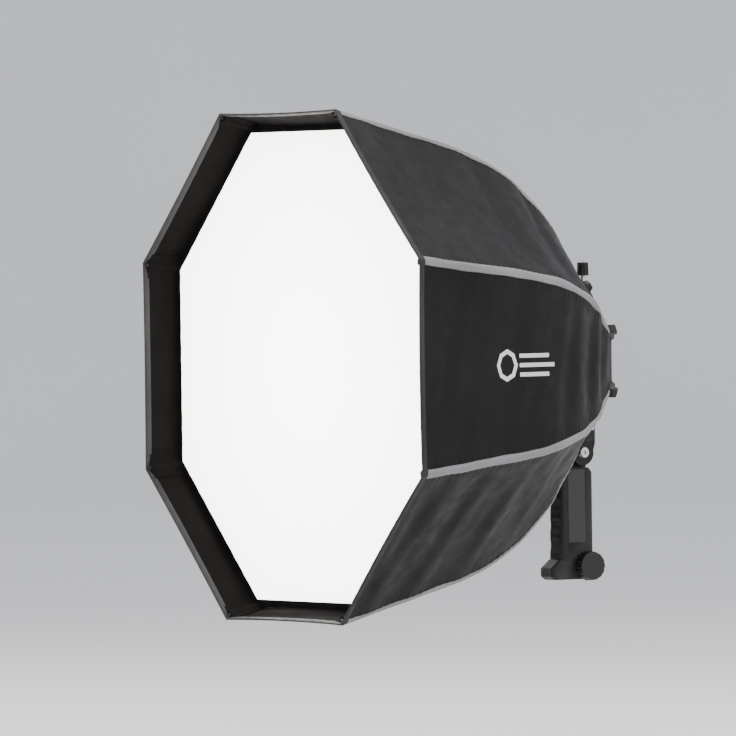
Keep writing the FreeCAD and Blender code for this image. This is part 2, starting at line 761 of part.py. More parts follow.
def fluted_knob(name, radius, height, flutes):
    """Round knob standing on its own origin along Z, with grooves around its edge."""
    solid = cone(f"{name}_solid", radius, f"{radius} * {KNOB_TAPER}", height, ("0", "0", "0"))
    grooves = []
    for number in range(flutes):
        groove = doc.addObject("Part::Cylinder", f"{name}_groove_{number + 1}")
        bind(groove, Radius=f"{radius} * {FLUTE_RADIUS}", Height=f"{height} * 2")
        angle = math.radians(360.0 * number / flutes)
        reach = value(f"{radius} * {FLUTE_REACH}")
        groove.Placement.Base = FreeCAD.Vector(
            reach * math.cos(angle), reach * math.sin(angle), -value(height) / 2)
        grooves.append(groove)
    return cut(f"{name}_fluted", solid, fuse(f"{name}_grooves", *grooves))


def clamp_knob():
    """Knob on top of the hub that tightens on the flash head."""
    knob = fluted_knob("clamp_knob", "Dim.clamp_knob_radius", "Dim.clamp_knob_height", 10)
    bore = cylinder("clamp_knob_bore", "Dim.clamp_screw_radius",
                    "Dim.clamp_screw_seat + Dim.clamp_seat_gap", ("0", "0", "-Dim.skin"))
    body = cut("clamp_knob_body", knob, bore)
    bind(body, place_y="Dim.clamp_y", place_z="Dim.axis_height + Dim.clamp_knob_base")
    return keep(body, "clamp_knob")


def clamp_screw():
    """Screw under the clamp knob, drawn back so that its tip is just clear of the opening."""
    screw = cylinder("clamp_screw_body", "Dim.clamp_screw_radius",
                     "Dim.clamp_knob_base - Dim.clamp_screw_reach + Dim.clamp_screw_seat",
                     ("0", "Dim.clamp_y", "Dim.axis_height + Dim.clamp_screw_reach"))
    return keep(screw, "clamp_screw")


# ---------------------------------------------------------------- tilt joint

def yoke():
    """Fork that carries the hub and turns on the grip's tongue."""
    body = doc.addObject("PartDesign::Body", "yoke_body")
    lug_low = "(Dim.axis_height - Dim.lug_bottom)"
    side = outline(body, "yoke_side", "YZ_Plane", [
        ("Dim.tilt_y - Dim.cheek_radius + Dim.yoke_neck_inset", "Dim.tilt_height"),
        ("Dim.tilt_y + Dim.cheek_radius - Dim.yoke_neck_inset", "Dim.tilt_height"),
        ("Dim.lug_back_y + Dim.yoke_plate", "Dim.tilt_height + Dim.yoke_shoulder_rise"),
        ("Dim.lug_back_y + Dim.yoke_plate", f"{lug_low} + Dim.yoke_plate_height"),
        ("Dim.lug_back_y + Dim.fit_gap", f"{lug_low} + Dim.yoke_plate_height"),
        ("Dim.lug_back_y + Dim.fit_gap", f"{lug_low} - Dim.yoke_heel_drop"),
        ("Dim.lug_front_y", f"{lug_low} - Dim.yoke_front_drop"),
        ("Dim.tilt_y - Dim.yoke_front_drop", "Dim.tilt_height + Dim.yoke_brow_rise")])
    pad(body, "yoke_pad", side, "Dim.yoke_half_width * 2", both_ways=True)

    def rear_side(edge):
        """Upright rear edges of the two outer faces."""
        span = edge.BoundBox
        return (span.XLength < 0.01 and span.ZLength > 15
                and span.YMin > value("Dim.tilt_y"))

    round_edges(body, "yoke_round", "Dim.yoke_round", rear_side)
    cheek = ring_sketch(body, "yoke_cheek", "YZ_Plane",
                        [("Dim.tilt_y", "Dim.tilt_height", "Dim.cheek_radius")])
    pad(body, "yoke_cheek_pad", cheek, "Dim.yoke_half_width * 2", both_ways=True)
    roof = "Dim.tilt_height + Dim.cheek_radius + Dim.yoke_neck_inset"
    below = "Dim.tilt_height - Dim.cheek_radius * 2"
    slot = outline(body, "yoke_slot", "XZ_Plane", [
        ("-Dim.cheek_inner", below),
        ("Dim.cheek_inner", below),
        ("Dim.cheek_inner", roof),
        ("-Dim.cheek_inner", roof)])
    pocket(body, "yoke_slot_cut", slot, "Dim.rim_setback", both_ways=True)
    bore = ring_sketch(body, "yoke_bore", "YZ_Plane",
                       [("Dim.tilt_y", "Dim.tilt_height", "Dim.bolt_radius + Dim.run_gap")])
    pocket(body, "yoke_bore_cut", bore, "Dim.yoke_half_width * 4", both_ways=True)
    holes = ring_sketch(body, "yoke_holes", "XZ_Plane", [
        (x, "Dim.axis_height - Dim.lug_screw_drop", "Dim.lug_screw_radius + Dim.run_gap")
        for x in LUG_SCREW_PLACES], "-Dim.lug_back_y + Dim.past")
    pocket(body, "yoke_holes_cut", holes, "Dim.yoke_plate + Dim.past * 2")
    return keep(body, "yoke")


def yoke_screws():
    """Two screws through the yoke's plate into the hub's lug."""
    height = "Dim.axis_height - Dim.lug_screw_drop"
    screws = []
    head_start = "Dim.lug_back_y + Dim.yoke_plate + Dim.fit_gap"
    for number, x in enumerate(LUG_SCREW_PLACES, start=1):
        head = cylinder(f"yoke_head_{number}", "Dim.lug_screw_head",
                        "Dim.lug_screw_head_height", (x, head_start, height), "Y")
        shank = cylinder(f"yoke_shank_{number}", "Dim.lug_screw_radius",
                         "Dim.lug_screw_length",
                         (x, f"{head_start} + Dim.lug_screw_sink - Dim.lug_screw_length", height), "Y")
        slot = box(f"yoke_slot_{number}", "Dim.lug_screw_head * 1.4", "Dim.driver_slot * 1.2",
                   "Dim.driver_slot",
                   (f"{x} - Dim.lug_screw_head * 0.7",
                    f"{head_start} + Dim.lug_screw_head_height - Dim.driver_slot",
                    f"{height} - Dim.driver_slot / 2"))
        screws.append(cut(f"yoke_screw_{number}",
                          fuse(f"yoke_screw_solid_{number}", head, shank), slot))
    return keep(group("yoke_screws_group", *screws), "yoke_screws")


def tilt_bolt():
    """Bolt through the tongue and both cheeks, with a round head on the +X side."""
    centre = ("Dim.tilt_y", "Dim.tilt_height")
    shank = cylinder("tilt_shank", "Dim.bolt_radius", "Dim.yoke_half_width * 2 + Dim.bolt_end",
                     ("-Dim.yoke_half_width - Dim.bolt_end + Dim.skin", *centre), "X")
    head = cone("tilt_head", "Dim.bolt_head_radius", "Dim.bolt_head_radius * 0.8",
                "Dim.bolt_head_height",
                ("Dim.yoke_half_width + Dim.fit_gap * 2", *centre), "X")
    socket = cylinder("tilt_hex", "Dim.hex_radius", "Dim.hex_depth",
                      ("Dim.yoke_half_width + Dim.bolt_head_height + Dim.skin * 2 - Dim.hex_depth",
                       *centre), "X")
    return keep(cut("tilt_bolt_body", fuse("tilt_bolt_solid", shank, head), socket),
                "tilt_bolt")


def tilt_washers():
    """Friction washers on both sides of the tongue."""
    washers = []
    near = "(Dim.tongue_half_width + Dim.fit_gap)"
    far = "(Dim.cheek_inner - Dim.fit_gap)"
    thickness = f"{far} - {near}"
    for number, start in enumerate((near, f"-{far}"), start=1):
        at = (start, "Dim.tilt_y", "Dim.tilt_height")
        disc = cylinder(f"washer_disc_{number}", "Dim.washer_radius", thickness, at, "X")
        hole = cylinder(f"washer_hole_{number}", "Dim.bolt_radius + Dim.run_gap", thickness,
                        at, "X")
        washers.append(cut(f"washer_{number}", disc, hole))
    return keep(group("tilt_washers_group", *washers), "tilt_washers")


def tilt_knob():
    """Knob on the -X side that locks the tilt."""
    knob = fluted_knob("tilt_knob", "Dim.tilt_knob_radius", "Dim.tilt_knob_depth", 9)
    bore = cylinder("tilt_knob_bore", "Dim.bolt_radius + Dim.run_gap", "Dim.bolt_end + Dim.skin * 2",
                    ("0", "0", "-Dim.skin"))
    body = cut("tilt_knob_body", knob, bore)
    turn = FreeCAD.Rotation(FreeCAD.Vector(0, 1, 0), -90)
    body.Placement = FreeCAD.Placement(FreeCAD.Vector(), turn)
    bind(body, place_x="-Dim.yoke_half_width - Dim.fit_gap * 2", place_y="Dim.tilt_y",
         place_z="Dim.tilt_height")
    return keep(body, "tilt_knob")


# ---------------------------------------------------------------- grip

def grip_core():
    """Moulded handle: rear spine, toe at the foot, tongue of the tilt joint on top."""
    body = doc.addObject("PartDesign::Body", "grip_core_body")
    side = outline(body, "grip_side", "YZ_Plane", [
        ("Dim.grip_back", "0"),
        ("Dim.grip_back", "Dim.grip_top - Dim.spine_chamfer"),
        ("Dim.grip_back - Dim.spine_chamfer", "Dim.grip_top"),
        ("-Dim.grip_front + Dim.sleeve_back", "Dim.grip_top"),
        ("-Dim.grip_front + Dim.sleeve_back", "Dim.foot_height"),
        ("-Dim.grip_front - Dim.toe_step", "Dim.foot_height"),
        ("-Dim.grip_front - Dim.toe_reach", "Dim.toe_top"),
        ("-Dim.grip_front - Dim.toe_reach", "Dim.toe_low"),
        ("-Dim.grip_front - Dim.toe_reach + Dim.toe_chamfer", "0")])
    pad(body, "grip_pad", side, "Dim.grip_half_width * 2", both_ways=True)

    def upright_back(edge):
        span = edge.BoundBox
        return span.YMin > value("Dim.grip_back") - 0.01 and span.ZLength > 50

    round_edges(body, "grip_back_round", "Dim.spine_round", upright_back)

    def foot(edge):
        """Edges of the two side faces round the toe."""
        span = edge.BoundBox
        return span.XLength < 0.01 and span.YMax < value("-Dim.grip_front - Dim.toe_step") + 1

    round_edges(body, "grip_toe_round", "Dim.toe_round", foot)
    tongue = ring_sketch(body, "tongue_round", "YZ_Plane",
                         [("Dim.tilt_y", "Dim.tilt_height", "Dim.cheek_radius - Dim.tongue_inset")])
    pad(body, "tongue_pad", tongue, "Dim.tongue_half_width * 2", both_ways=True)
    neck = outline(body, "tongue_neck", "YZ_Plane", [
        ("Dim.tilt_y - Dim.cheek_radius + Dim.tongue_inset", "Dim.grip_top - Dim.neck_depth"),
        ("Dim.tilt_y + Dim.neck_back", "Dim.grip_top - Dim.neck_depth"),
        ("Dim.tilt_y + Dim.cheek_radius - Dim.tongue_inset", "Dim.tilt_height"),
        ("Dim.tilt_y - Dim.cheek_radius + Dim.tongue_inset", "Dim.tilt_height")])
    pad(body, "neck_pad", neck, "Dim.tongue_half_width * 2", both_ways=True)
    bolt = ring_sketch(body, "bolt_hole", "YZ_Plane",
                       [("Dim.tilt_y", "Dim.tilt_height", "Dim.bolt_radius + Dim.fit_gap / 2")])
    pocket(body, "bolt_hole_cut", bolt, "Dim.tongue_half_width * 4", both_ways=True)
    bush = ring_sketch(body, "bush_seat", "XY_Plane",
                       [(ZERO, ZERO, "Dim.bush_radius + Dim.fit_gap")])
    pocket(body, "bush_seat_cut", bush, "Dim.socket_depth + Dim.bush_seat_end", backwards=True)
    screw = ring_sketch(body, "screw_hole", "YZ_Plane",
                        [(ZERO, "Dim.stand_knob_height", "Dim.stand_screw_radius + Dim.run_gap")])
    pocket(body, "screw_hole_cut", screw, "Dim.grip_half_width + Dim.past", backwards=True)
    # Shallow seats for the two side plates.
    for name, sign in (("right", 1), ("left", -1)):
        seat = outline(body, f"seat_{name}", "YZ_Plane", [
            ("-Dim.grip_front + Dim.sleeve_back + Dim.plate_margin", "Dim.plate_low"),
            ("Dim.plate_back", "Dim.plate_low"),
            ("Dim.plate_back", "Dim.grip_top - Dim.sleeve_back"),
            ("-Dim.grip_front + Dim.sleeve_back + Dim.plate_margin", "Dim.grip_top - Dim.sleeve_back")],
            f"{sign} * (Dim.grip_half_width + Dim.skin - Dim.plate_thickness)")
        pocket(body, f"seat_{name}_cut", seat, "Dim.plate_seat_depth", backwards=sign > 0)
    return keep(body, "grip_core")


def grip_plates():
    """Smooth side plates set into the grip's two flanks."""
    plates = []
    for name, start in (("right", "Dim.grip_half_width + Dim.plate_gap - Dim.plate_thickness"),
                        ("left", "-Dim.grip_half_width - Dim.plate_gap")):
        plates.append(box(
            f"plate_{name}", "Dim.plate_thickness",
            "Dim.grip_front - Dim.sleeve_back + Dim.plate_back - Dim.plate_margin"
            " - Dim.plate_gap * 2",
            "Dim.grip_top - Dim.sleeve_back - Dim.plate_low - Dim.plate_gap * 2",
            (start, "-Dim.grip_front + Dim.sleeve_back + Dim.plate_margin + Dim.plate_gap",
             "Dim.plate_low + Dim.plate_gap")))
    return keep(group("grip_plates_group", *plates), "grip_plates")


def grip_sleeve():
    """Rubber front of the handle, with four finger grooves."""
    body = doc.addObject("PartDesign::Body", "grip_sleeve_body")
    back = "-Dim.grip_front + Dim.sleeve_back - Dim.skin"
    low = "Dim.foot_height + Dim.skin"
    side = outline(body, "sleeve_side", "YZ_Plane", [
        (back, low),
        (back, "Dim.grip_top"),
        ("-Dim.grip_front - Dim.sleeve_top_reach", "Dim.grip_top - Dim.sleeve_top_drop"),
        ("-Dim.grip_front - Dim.sleeve_foot_reach", low)])
    pad(body, "sleeve_pad", side, "Dim.grip_half_width * 2", both_ways=True)

    def front_upright(edge):
        span = edge.BoundBox
        return (span.XLength < 0.01 and span.ZLength > 50
                and span.YMax < value("-Dim.grip_front") - 5)

    round_edges(body, "sleeve_round", "Dim.sleeve_round", front_upright)
    grooves = ring_sketch(body, "finger_grooves", "YZ_Plane", [
        ("-Dim.grip_front - Dim.finger_offset",
         f"Dim.first_finger + {number} * Dim.finger_pitch", "Dim.finger_radius")
        for number in range(4)])
    pocket(body, "finger_groove_cut", grooves, "Dim.grip_half_width * 4", both_ways=True)
    return keep(body, "grip_sleeve")


def stand_bush():
    """Metal sleeve that takes the stand's spigot."""
    outside = cylinder("bush_outside", "Dim.bush_radius", "Dim.socket_depth + Dim.bush_end",
                       ("0", "0", "0"))
    bore = cylinder("bush_bore", "Dim.socket_radius", "Dim.socket_depth", ("0", "0", "0"))
    screw = cylinder("bush_screw_hole", "Dim.stand_screw_radius + Dim.run_gap",
                     "Dim.bush_radius + Dim.past", ("0", "0", "Dim.stand_knob_height"), "X")
    return keep(cut("stand_bush_body", outside, fuse("bush_holes", bore, screw)),
                "stand_bush")


def stand_knob():
    """Round knob beside the foot of the grip that clamps the stand's spigot."""
    disc = fluted_knob("stand_knob", "Dim.stand_knob_radius", "Dim.stand_knob_depth", 14)
    collar = cylinder("stand_knob_collar", "Dim.stand_screw_radius + Dim.stand_collar_wall",
                      "Dim.stand_collar_height", ("0", "0", "-Dim.stand_collar_height"))
    bore = cylinder("stand_knob_bore", "Dim.stand_screw_radius",
                    "Dim.stand_screw_seat + Dim.stand_collar_height + Dim.skin * 2",
                    ("0", "0", "-Dim.stand_collar_height - Dim.skin"))
    body = cut("stand_knob_body", fuse("stand_knob_solid", disc, collar), bore)
    body.Placement = FreeCAD.Placement(FreeCAD.Vector(), TURN["X"])
    bind(body, place_x="Dim.stand_knob_start", place_z="Dim.stand_knob_height")
    return keep(body, "stand_knob")


def stand_screw():
    """Screw of the stand clamp."""
    screw = cylinder("stand_screw_body", "Dim.stand_screw_radius",
                     "Dim.stand_knob_start + Dim.stand_screw_seat - Dim.stand_screw_tip",
                     ("Dim.stand_screw_tip", "0", "Dim.stand_knob_height"), "X")
    return keep(screw, "stand_screw")


# ---------------------------------------------------------------- assembly

def build():
    grip_core()
    grip_plates()
    grip_sleeve()
    stand_bush()
    stand_knob()
    stand_screw()
    tilt_bolt()
    tilt_washers()
    tilt_knob()
    yoke()
    yoke_screws()
    hub_ring()
    hub_pins()
    hub_cover()
    throat_collar()
    hub_screws()
    clamp_knob()
    clamp_screw()
    for number in range(1, SIDES + 1):
        rod(number)
        knuckle(number)
        rivet(number)
        half_panel(number, 1)
        half_panel(number, -1)
    octagon("Dim.cloth", "Dim.diffuser_flat_radius",
            "Dim.rim_setback - Dim.diffuser_recess", "front_diffuser")
    octagon("Dim.cloth", "Dim.baffle_flat_radius", "Dim.baffle_y", "inner_baffle")


def write_out():
    doc.recompute()
    for thing in doc.Objects:
        if "Invalid" in thing.State or "Error" in thing.State:
            raise ValueError(f"{thing.Name} did not build: {thing.State}")
    os.makedirs("parts", exist_ok=True)
    for thing, node in subparts:
        shape = thing.Shape
        if shape.isNull() or not shape.isValid() or not shape.Solids:
            raise ValueError(f"{node} is not a valid solid")
        shape.exportStep(f"parts/{node}.step")


build()
write_out()
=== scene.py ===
import bpy
import json
import math
import random
from mathutils import Matrix, Vector

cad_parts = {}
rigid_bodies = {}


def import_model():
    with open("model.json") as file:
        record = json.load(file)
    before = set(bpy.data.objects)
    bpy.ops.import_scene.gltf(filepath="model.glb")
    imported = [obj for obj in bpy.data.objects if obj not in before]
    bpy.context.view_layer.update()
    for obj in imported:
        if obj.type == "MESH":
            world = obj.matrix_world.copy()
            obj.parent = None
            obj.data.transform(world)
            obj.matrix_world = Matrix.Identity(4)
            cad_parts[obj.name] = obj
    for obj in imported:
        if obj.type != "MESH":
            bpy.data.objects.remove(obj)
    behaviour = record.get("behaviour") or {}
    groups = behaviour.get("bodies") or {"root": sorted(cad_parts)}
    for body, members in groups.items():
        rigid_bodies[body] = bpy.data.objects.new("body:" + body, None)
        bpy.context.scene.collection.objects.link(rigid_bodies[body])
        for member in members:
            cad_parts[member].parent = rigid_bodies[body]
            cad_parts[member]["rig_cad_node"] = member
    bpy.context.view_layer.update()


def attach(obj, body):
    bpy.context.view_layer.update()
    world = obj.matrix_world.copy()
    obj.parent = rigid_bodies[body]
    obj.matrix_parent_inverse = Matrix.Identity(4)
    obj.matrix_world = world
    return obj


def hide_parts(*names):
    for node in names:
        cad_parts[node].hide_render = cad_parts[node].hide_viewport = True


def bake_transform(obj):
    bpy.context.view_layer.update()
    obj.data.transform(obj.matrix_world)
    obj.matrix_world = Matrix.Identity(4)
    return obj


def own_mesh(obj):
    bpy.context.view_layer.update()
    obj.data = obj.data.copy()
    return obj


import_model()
random.seed(7)

SIDES = 8
HALF = math.radians(22.5)           # half the angle that one side takes

# ---------------------------------------------------------------- measures, metres
AXIS_Z = 0.262                      # height of the softbox's axis
RIM_Y = -0.425
FLAT_RADIUS = 0.300                 # radii to the flats of the octagon
THROAT_RADIUS = 0.072
FRONT_SLOPE = math.radians(14.0)    # slopes of a side panel against the axis
REAR_SLOPE = math.radians(47.75)
BEND_RADIUS = 0.380
KNEE_RADIUS = 0.2298                # where the two straight parts would meet
KNEE_Y = -0.1435
CLOTH = 0.0011                      # thickness of the side panels
LIP_DEPTH = 0.040                   # the diffuser sits this far inside the rim
DIFFUSER_RADIUS = 0.278
BAFFLE_Y = -0.2105
BAFFLE_RADIUS = 0.196
NOTCH_RADIUS = 0.103                # windows for the knuckles at the rear of the corners
NOTCH_HALF = 0.0060
NOTCH_RAMP = 0.004
HUB_RADIUS = 0.058
COLLAR_RADIUS = 0.0722
COLLAR_Y = -0.0006
HINGE_RADIUS = 0.052                # hinge pins of the rods
HINGE_Y = -0.003
ROD_SLOPE = math.radians(50)
SHARP = math.radians(50)            # edges sharper than this aren't shaded smooth


# ---------------------------------------------------------------- shell surface

class Profile:
    """Middle line of a side panel: straight, bend, straight, measured from the rim."""

    def __init__(self):
        turn = REAR_SLOPE - FRONT_SLOPE
        reach = BEND_RADIUS * math.tan(turn / 2)
        self.start = (FLAT_RADIUS, RIM_Y)
        first = (KNEE_Y - RIM_Y) / math.cos(FRONT_SLOPE) - reach
        last = (KNEE_RADIUS - THROAT_RADIUS) / math.sin(REAR_SLOPE) - reach
        self.first = first
        self.arc = BEND_RADIUS * turn
        self.length = first + self.arc + last

    def at(self, s):
        """(distance from the axis, y, slope) at a length s from the rim."""
        r, y = self.start
        a = min(s, self.first)
        r -= a * math.sin(FRONT_SLOPE)
        y += a * math.cos(FRONT_SLOPE)
        slope = FRONT_SLOPE
        if s > self.first:
            b = min(s - self.first, self.arc)
            slope = FRONT_SLOPE + b / BEND_RADIUS
            r += BEND_RADIUS * (math.cos(slope) - math.cos(FRONT_SLOPE))
            y += BEND_RADIUS * (math.sin(slope) - math.sin(FRONT_SLOPE))
        if s > self.first + self.arc:
            c = s - self.first - self.arc
            r -= c * math.sin(REAR_SLOPE)
            y += c * math.cos(REAR_SLOPE)
        return r, y, slope


profile = Profile()


def rib_angle(number):
    return HALF + (number - 1) * 2 * HALF


def radial(angle):
    return Vector((math.cos(angle), 0, math.sin(angle)))


def tangent(angle):
    return Vector((-math.sin(angle), 0, math.cos(angle)))


def make_waves(count, shortest, longest, strength):
    """Random long ripples for one panel, as (wave number, phase, height, slant)."""
    waves = []
    for _ in range(count):
        length = random.uniform(shortest, longest)
        waves.append((2 * math.pi / length, random.uniform(0, 2 * math.pi),
                      strength * length / longest * random.uniform(0.6, 1.0),
                      random.uniform(-0.25, 0.25)))
    return waves


PANEL_WAVES = [make_waves(count=5, shortest=0.035, longest=0.12, strength=0.0019)
               for _ in range(SIDES)]
PUCKER_PHASE = [random.uniform(0, 6.28) for _ in range(SIDES)]
PUCKER_HEIGHT = 0.00035
PUCKER_PLACE = 0.010                # distance of the puckers from their rib
PUCKER_SPREAD = 0.007
PUCKER_PITCH = 0.0105
SAG_DEPTH = 0.0042
CALM_EDGE = 0.03                    # ripples die out this near the front and rear edges
LEAN_LIMIT = 0.006                  # points deeper inside move no further along a corner


def cloth_height(panel, across, s, width):
    """How far the cloth lies above the flat panel; next to nothing on the two ribs."""
    u = s / profile.length
    free = 1 - across * across
    sag = -SAG_DEPTH * free * math.sin(math.pi * min(1, 0.12 + 0.88 * u)) ** 0.8
    ripple = 0.0
    for number, phase, height, slant in PANEL_WAVES[panel]:
        ripple += height * math.sin(number * (s + slant * across * width) + phase)
    calm = min(1, s / CALM_EDGE) * min(1, (profile.length - s) / CALM_EDGE)
    from_rib = (1 - abs(across)) * width
    nearness = math.exp(-((from_rib - PUCKER_PLACE) / PUCKER_SPREAD) ** 2)
    pucker = PUCKER_HEIGHT * nearness \
        * math.sin(s / PUCKER_PITCH * 2 * math.pi + PUCKER_PHASE[panel])
    return sag + (ripple * free ** 0.6 + pucker) * calm


def shell_point(panel, across, s, lift=0.0):
    """Point of the shell. panel 0 to 7 is centred at panel * 45 degrees; across is -1 to 1."""
    r, y, slope = profile.at(s)
    angle = panel * 2 * HALF
    width = r * math.tan(HALF)
    height = cloth_height(panel, across, s, width) + lift
    # At a corner the two faces lean apart, so a lifted point also moves outwards along it.
    normal = radial(angle) * math.cos(slope) + Vector((0, math.sin(slope), 0))
    stretch = tangent(angle) * (across * math.tan(HALF) * max(lift, -LEAN_LIMIT) * math.cos(slope))
    place = radial(angle) * r + tangent(angle) * (across * width)
    return place + Vector((0, y, AXIS_Z)) + normal * height + stretch


def half_across(side, share):
    """across coordinate for a share 0 (at the rib) to 1 (at the fold line).

    side +1 is the half after a rib, which is the lower half of the next panel."""
    return -side * (1 - share)


def panel_of(number, side):
    """Panel on the given side of rib 1 to 8."""
    return number % SIDES if side > 0 else number - 1


def half_name(number, side):
    """Name of a half panel after its rib, such as 3_after or 3_before."""
    return f"{number}_after" if side > 0 else f"{number}_before"


# ---------------------------------------------------------------- mesh tools

def mesh_object(name, points, faces, materials, face_materials=None):
    mesh = bpy.data.meshes.new(name)
    mesh.from_pydata([tuple(p) for p in points], [], faces)
    for material in materials:
        mesh.materials.append(material)
    if face_materials:
        mesh.polygons.foreach_set("material_index", face_materials)
    mesh.polygons.foreach_set("use_smooth", [True] * len(faces))
    mesh.update()
    mesh.set_sharp_from_angle(angle=SHARP)
    thing = bpy.data.objects.new(name, mesh)
    bpy.context.scene.collection.objects.link(thing)
    return thing


def slab(name, outer, inner, materials, flip=False, inner_rule=None):
    """Closed sheet from two equal grids of points, with walls round its edge.

    inner_rule gives the material number of a row on the inside; all else wears material 0."""
    rows, columns = len(outer), len(outer[0])
    points = [p for row in outer for p in row] + [p for row in inner for p in row]
    shift = rows * columns
    faces, slots = [], []

    def add(face, slot):
        faces.append(tuple(reversed(face)) if flip else tuple(face))
        slots.append(slot)

    for i in range(rows - 1):
        for j in range(columns - 1):
            a, b = i * columns + j, i * columns + j + 1
            c, d = b + columns, a + columns
            add((a, b, c, d), 0)
            inside = inner_rule(i) if inner_rule else 0
            add((d + shift, c + shift, b + shift, a + shift), inside)
    loop = list(range(columns))
    loop += [i * columns + columns - 1 for i in range(1, rows)]
    loop += [(rows - 1) * columns + j for j in range(columns - 2, -1, -1)]
    loop += [i * columns for i in range(rows - 2, 0, -1)]
    for a, b in zip(loop, loop[1:] + loop[:1]):
        add((b, a, a + shift, b + shift), 0)
    return mesh_object(name, points, faces, materials, slots)


def smooth_step(t):
    t = max(0.0, min(1.0, t))
    return t * t * (3 - 2 * t)


def hang_on_pleat(thing, nodes=()):
    """Hide the CAD nodes that a piece of cloth replaces and bake its placement into its mesh."""
    if nodes:
        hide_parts(*nodes)
    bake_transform(thing)


# ---------------------------------------------------------------- materials

# Numbers of the colour sockets on a mix node.
MIX_FACTOR = 0
MIX_LOW = 6
MIX_HIGH = 7
MIX_RESULT = 2


class Nodes:
    """Small helper round a material's node tree."""

    def __init__(self, name):
        self.material = bpy.data.materials.new(name)
        self.material.use_nodes = True
        self.tree = self.material.node_tree
        self.shader = self.tree.nodes["Principled BSDF"]
        self.place = self.add("ShaderNodeTexCoord").outputs["Object"]

    def add(self, kind, **settings):
        node = self.tree.nodes.new(kind)
        for key, setting in settings.items():
            setattr(node, key, setting)
        return node

    def link(self, output, target):
        self.tree.links.new(output, target)

    def scaled(self, scale):
        node = self.add("ShaderNodeMapping")
        node.inputs["Scale"].default_value = scale
        self.link(self.place, node.inputs["Vector"])
        return node.outputs["Vector"]

    def noise(self, scale, detail=4.0, stretch=(1, 1, 1)):
        node = self.add("ShaderNodeTexNoise")
        node.inputs["Scale"].default_value = scale
        node.inputs["Detail"].default_value = detail
        self.link(self.scaled(stretch), node.inputs["Vector"])
        return node.outputs["Fac"]

    def wave(self, scale, direction, distortion=0.3):
        node = self.add("ShaderNodeTexWave", bands_direction=direction)
        node.inputs["Scale"].default_value = scale
        node.inputs["Distortion"].default_value = distortion
        self.link(self.place, node.inputs["Vector"])
        return node.outputs["Fac"]

    def mix(self, factor, low, high):
        """Colour between two colours by a factor; low may be another node's output."""
        node = self.add("ShaderNodeMix", data_type="RGBA")
        if isinstance(low, tuple):
            node.inputs[MIX_LOW].default_value = (*low, 1)
        else:
            self.link(low, node.inputs[MIX_LOW])
        node.inputs[MIX_HIGH].default_value = (*high, 1)
        self.link(factor, node.inputs[MIX_FACTOR])
        return node.outputs[MIX_RESULT]

    def spread(self, factor, low, high, start=0.3, end=0.7):
        """Number between low and high as a factor runs from start to end."""
        node = self.add("ShaderNodeMapRange")
        ends = {"From Min": start, "From Max": end, "To Min": low, "To Max": high}
        for name, number in ends.items():
            node.inputs[name].default_value = number
        self.link(factor, node.inputs["Value"])
        return node.outputs["Result"]

    def combine(self, first, second, operation="ADD"):
        """Result of one step of arithmetic; second may be a plain number."""
        node = self.add("ShaderNodeMath", operation=operation)
        self.link(first, node.inputs[0])
        if isinstance(second, (int, float)):
            node.inputs[1].default_value = second
        else:
            self.link(second, node.inputs[1])
        return node.outputs[0]

    def bump(self, height, distance, strength=0.5):
        node = self.add("ShaderNodeBump")
        node.inputs["Strength"].default_value = strength
        node.inputs["Distance"].default_value = distance
        self.link(height, node.inputs["Height"])
        self.link(node.outputs["Normal"], self.shader.inputs["Normal"])

    def put(self, **inputs):
        """Set the shader's inputs to sockets, colours or numbers."""
        for name, item in inputs.items():
            target = self.shader.inputs[name.replace("_", " ")]
            if hasattr(item, "links"):
                self.link(item, target)
            elif isinstance(item, tuple):
                target.default_value = (*item, 1)
            else:
                target.default_value = item
        return self


def weave(nodes, scale):
    """Plain weave height from crossed threads."""
    one = nodes.wave(scale, "DIAGONAL", 0.2)
    two = nodes.wave(scale * 0.96, "Z", 0.2)
    return nodes.combine(one, two, "MULTIPLY")


def cloth_material(name, dark, light, threads, rough, sheen, gloss):
    """Woven cloth; gloss is the specular level, 0.5 for a plain plastic."""
    nodes = Nodes(name)
    tone = nodes.noise(9, 5)
    nodes.put(Base_Color=nodes.mix(nodes.spread(tone, 0, 1), dark, light),
              Roughness=nodes.spread(nodes.noise(60, 6), rough - 0.07, rough + 0.08),
              Sheen_Weight=sheen, Sheen_Roughness=0.35, Specular_IOR_Level=gloss)
    height = nodes.combine(weave(nodes, threads), nodes.noise(35, 6))
    nodes.bump(height, 0.00035, 0.35)
    return nodes.material


EDGE_GLOW = 0.72                    # painted glow at the rim, as a share of the middle's
GLOW_REACH = 0.29
# Tints of the painted glow, warmer towards the rim.
MIDDLE_GLOW_TINT = (1.0, 0.985, 0.95)
EDGE_GLOW_TINT = (1.0, 0.955, 0.90)
# Pale tone for sharp plastic edges: partly wear, partly a painted highlight.
WEAR_AND_HIGHLIGHT_TONE = (0.045, 0.045, 0.045)


def painted_glow_material(name, strength):
    """White ripstop with a painted glow standing in for the flash behind it, brightest in the
    middle.
    """
    nodes = Nodes(name)
    split = nodes.add("ShaderNodeSeparateXYZ")
    nodes.link(nodes.place, split.inputs[0])
    x2 = nodes.combine(split.outputs[0], 2, "POWER")
    down = nodes.combine(split.outputs[2], -AXIS_Z)
    z2 = nodes.combine(down, 2, "POWER")
    reach = nodes.combine(nodes.combine(x2, z2), 0.5, "POWER")
    # Painted glow: emission in place of the flash inside, brighter in the middle than at the rim.
    glow = nodes.spread(reach, strength, strength * EDGE_GLOW, 0.0, GLOW_REACH)
    soft = nodes.mix(nodes.spread(reach, 0, 1, 0.05, GLOW_REACH), MIDDLE_GLOW_TINT, EDGE_GLOW_TINT)
    nodes.put(Base_Color=(0.86, 0.85, 0.82), Roughness=0.75, Emission_Color=soft,
              Emission_Strength=glow)
    nodes.bump(nodes.combine(weave(nodes, 900), nodes.noise(22, 3)), 0.0004, 0.3)
    return nodes.material


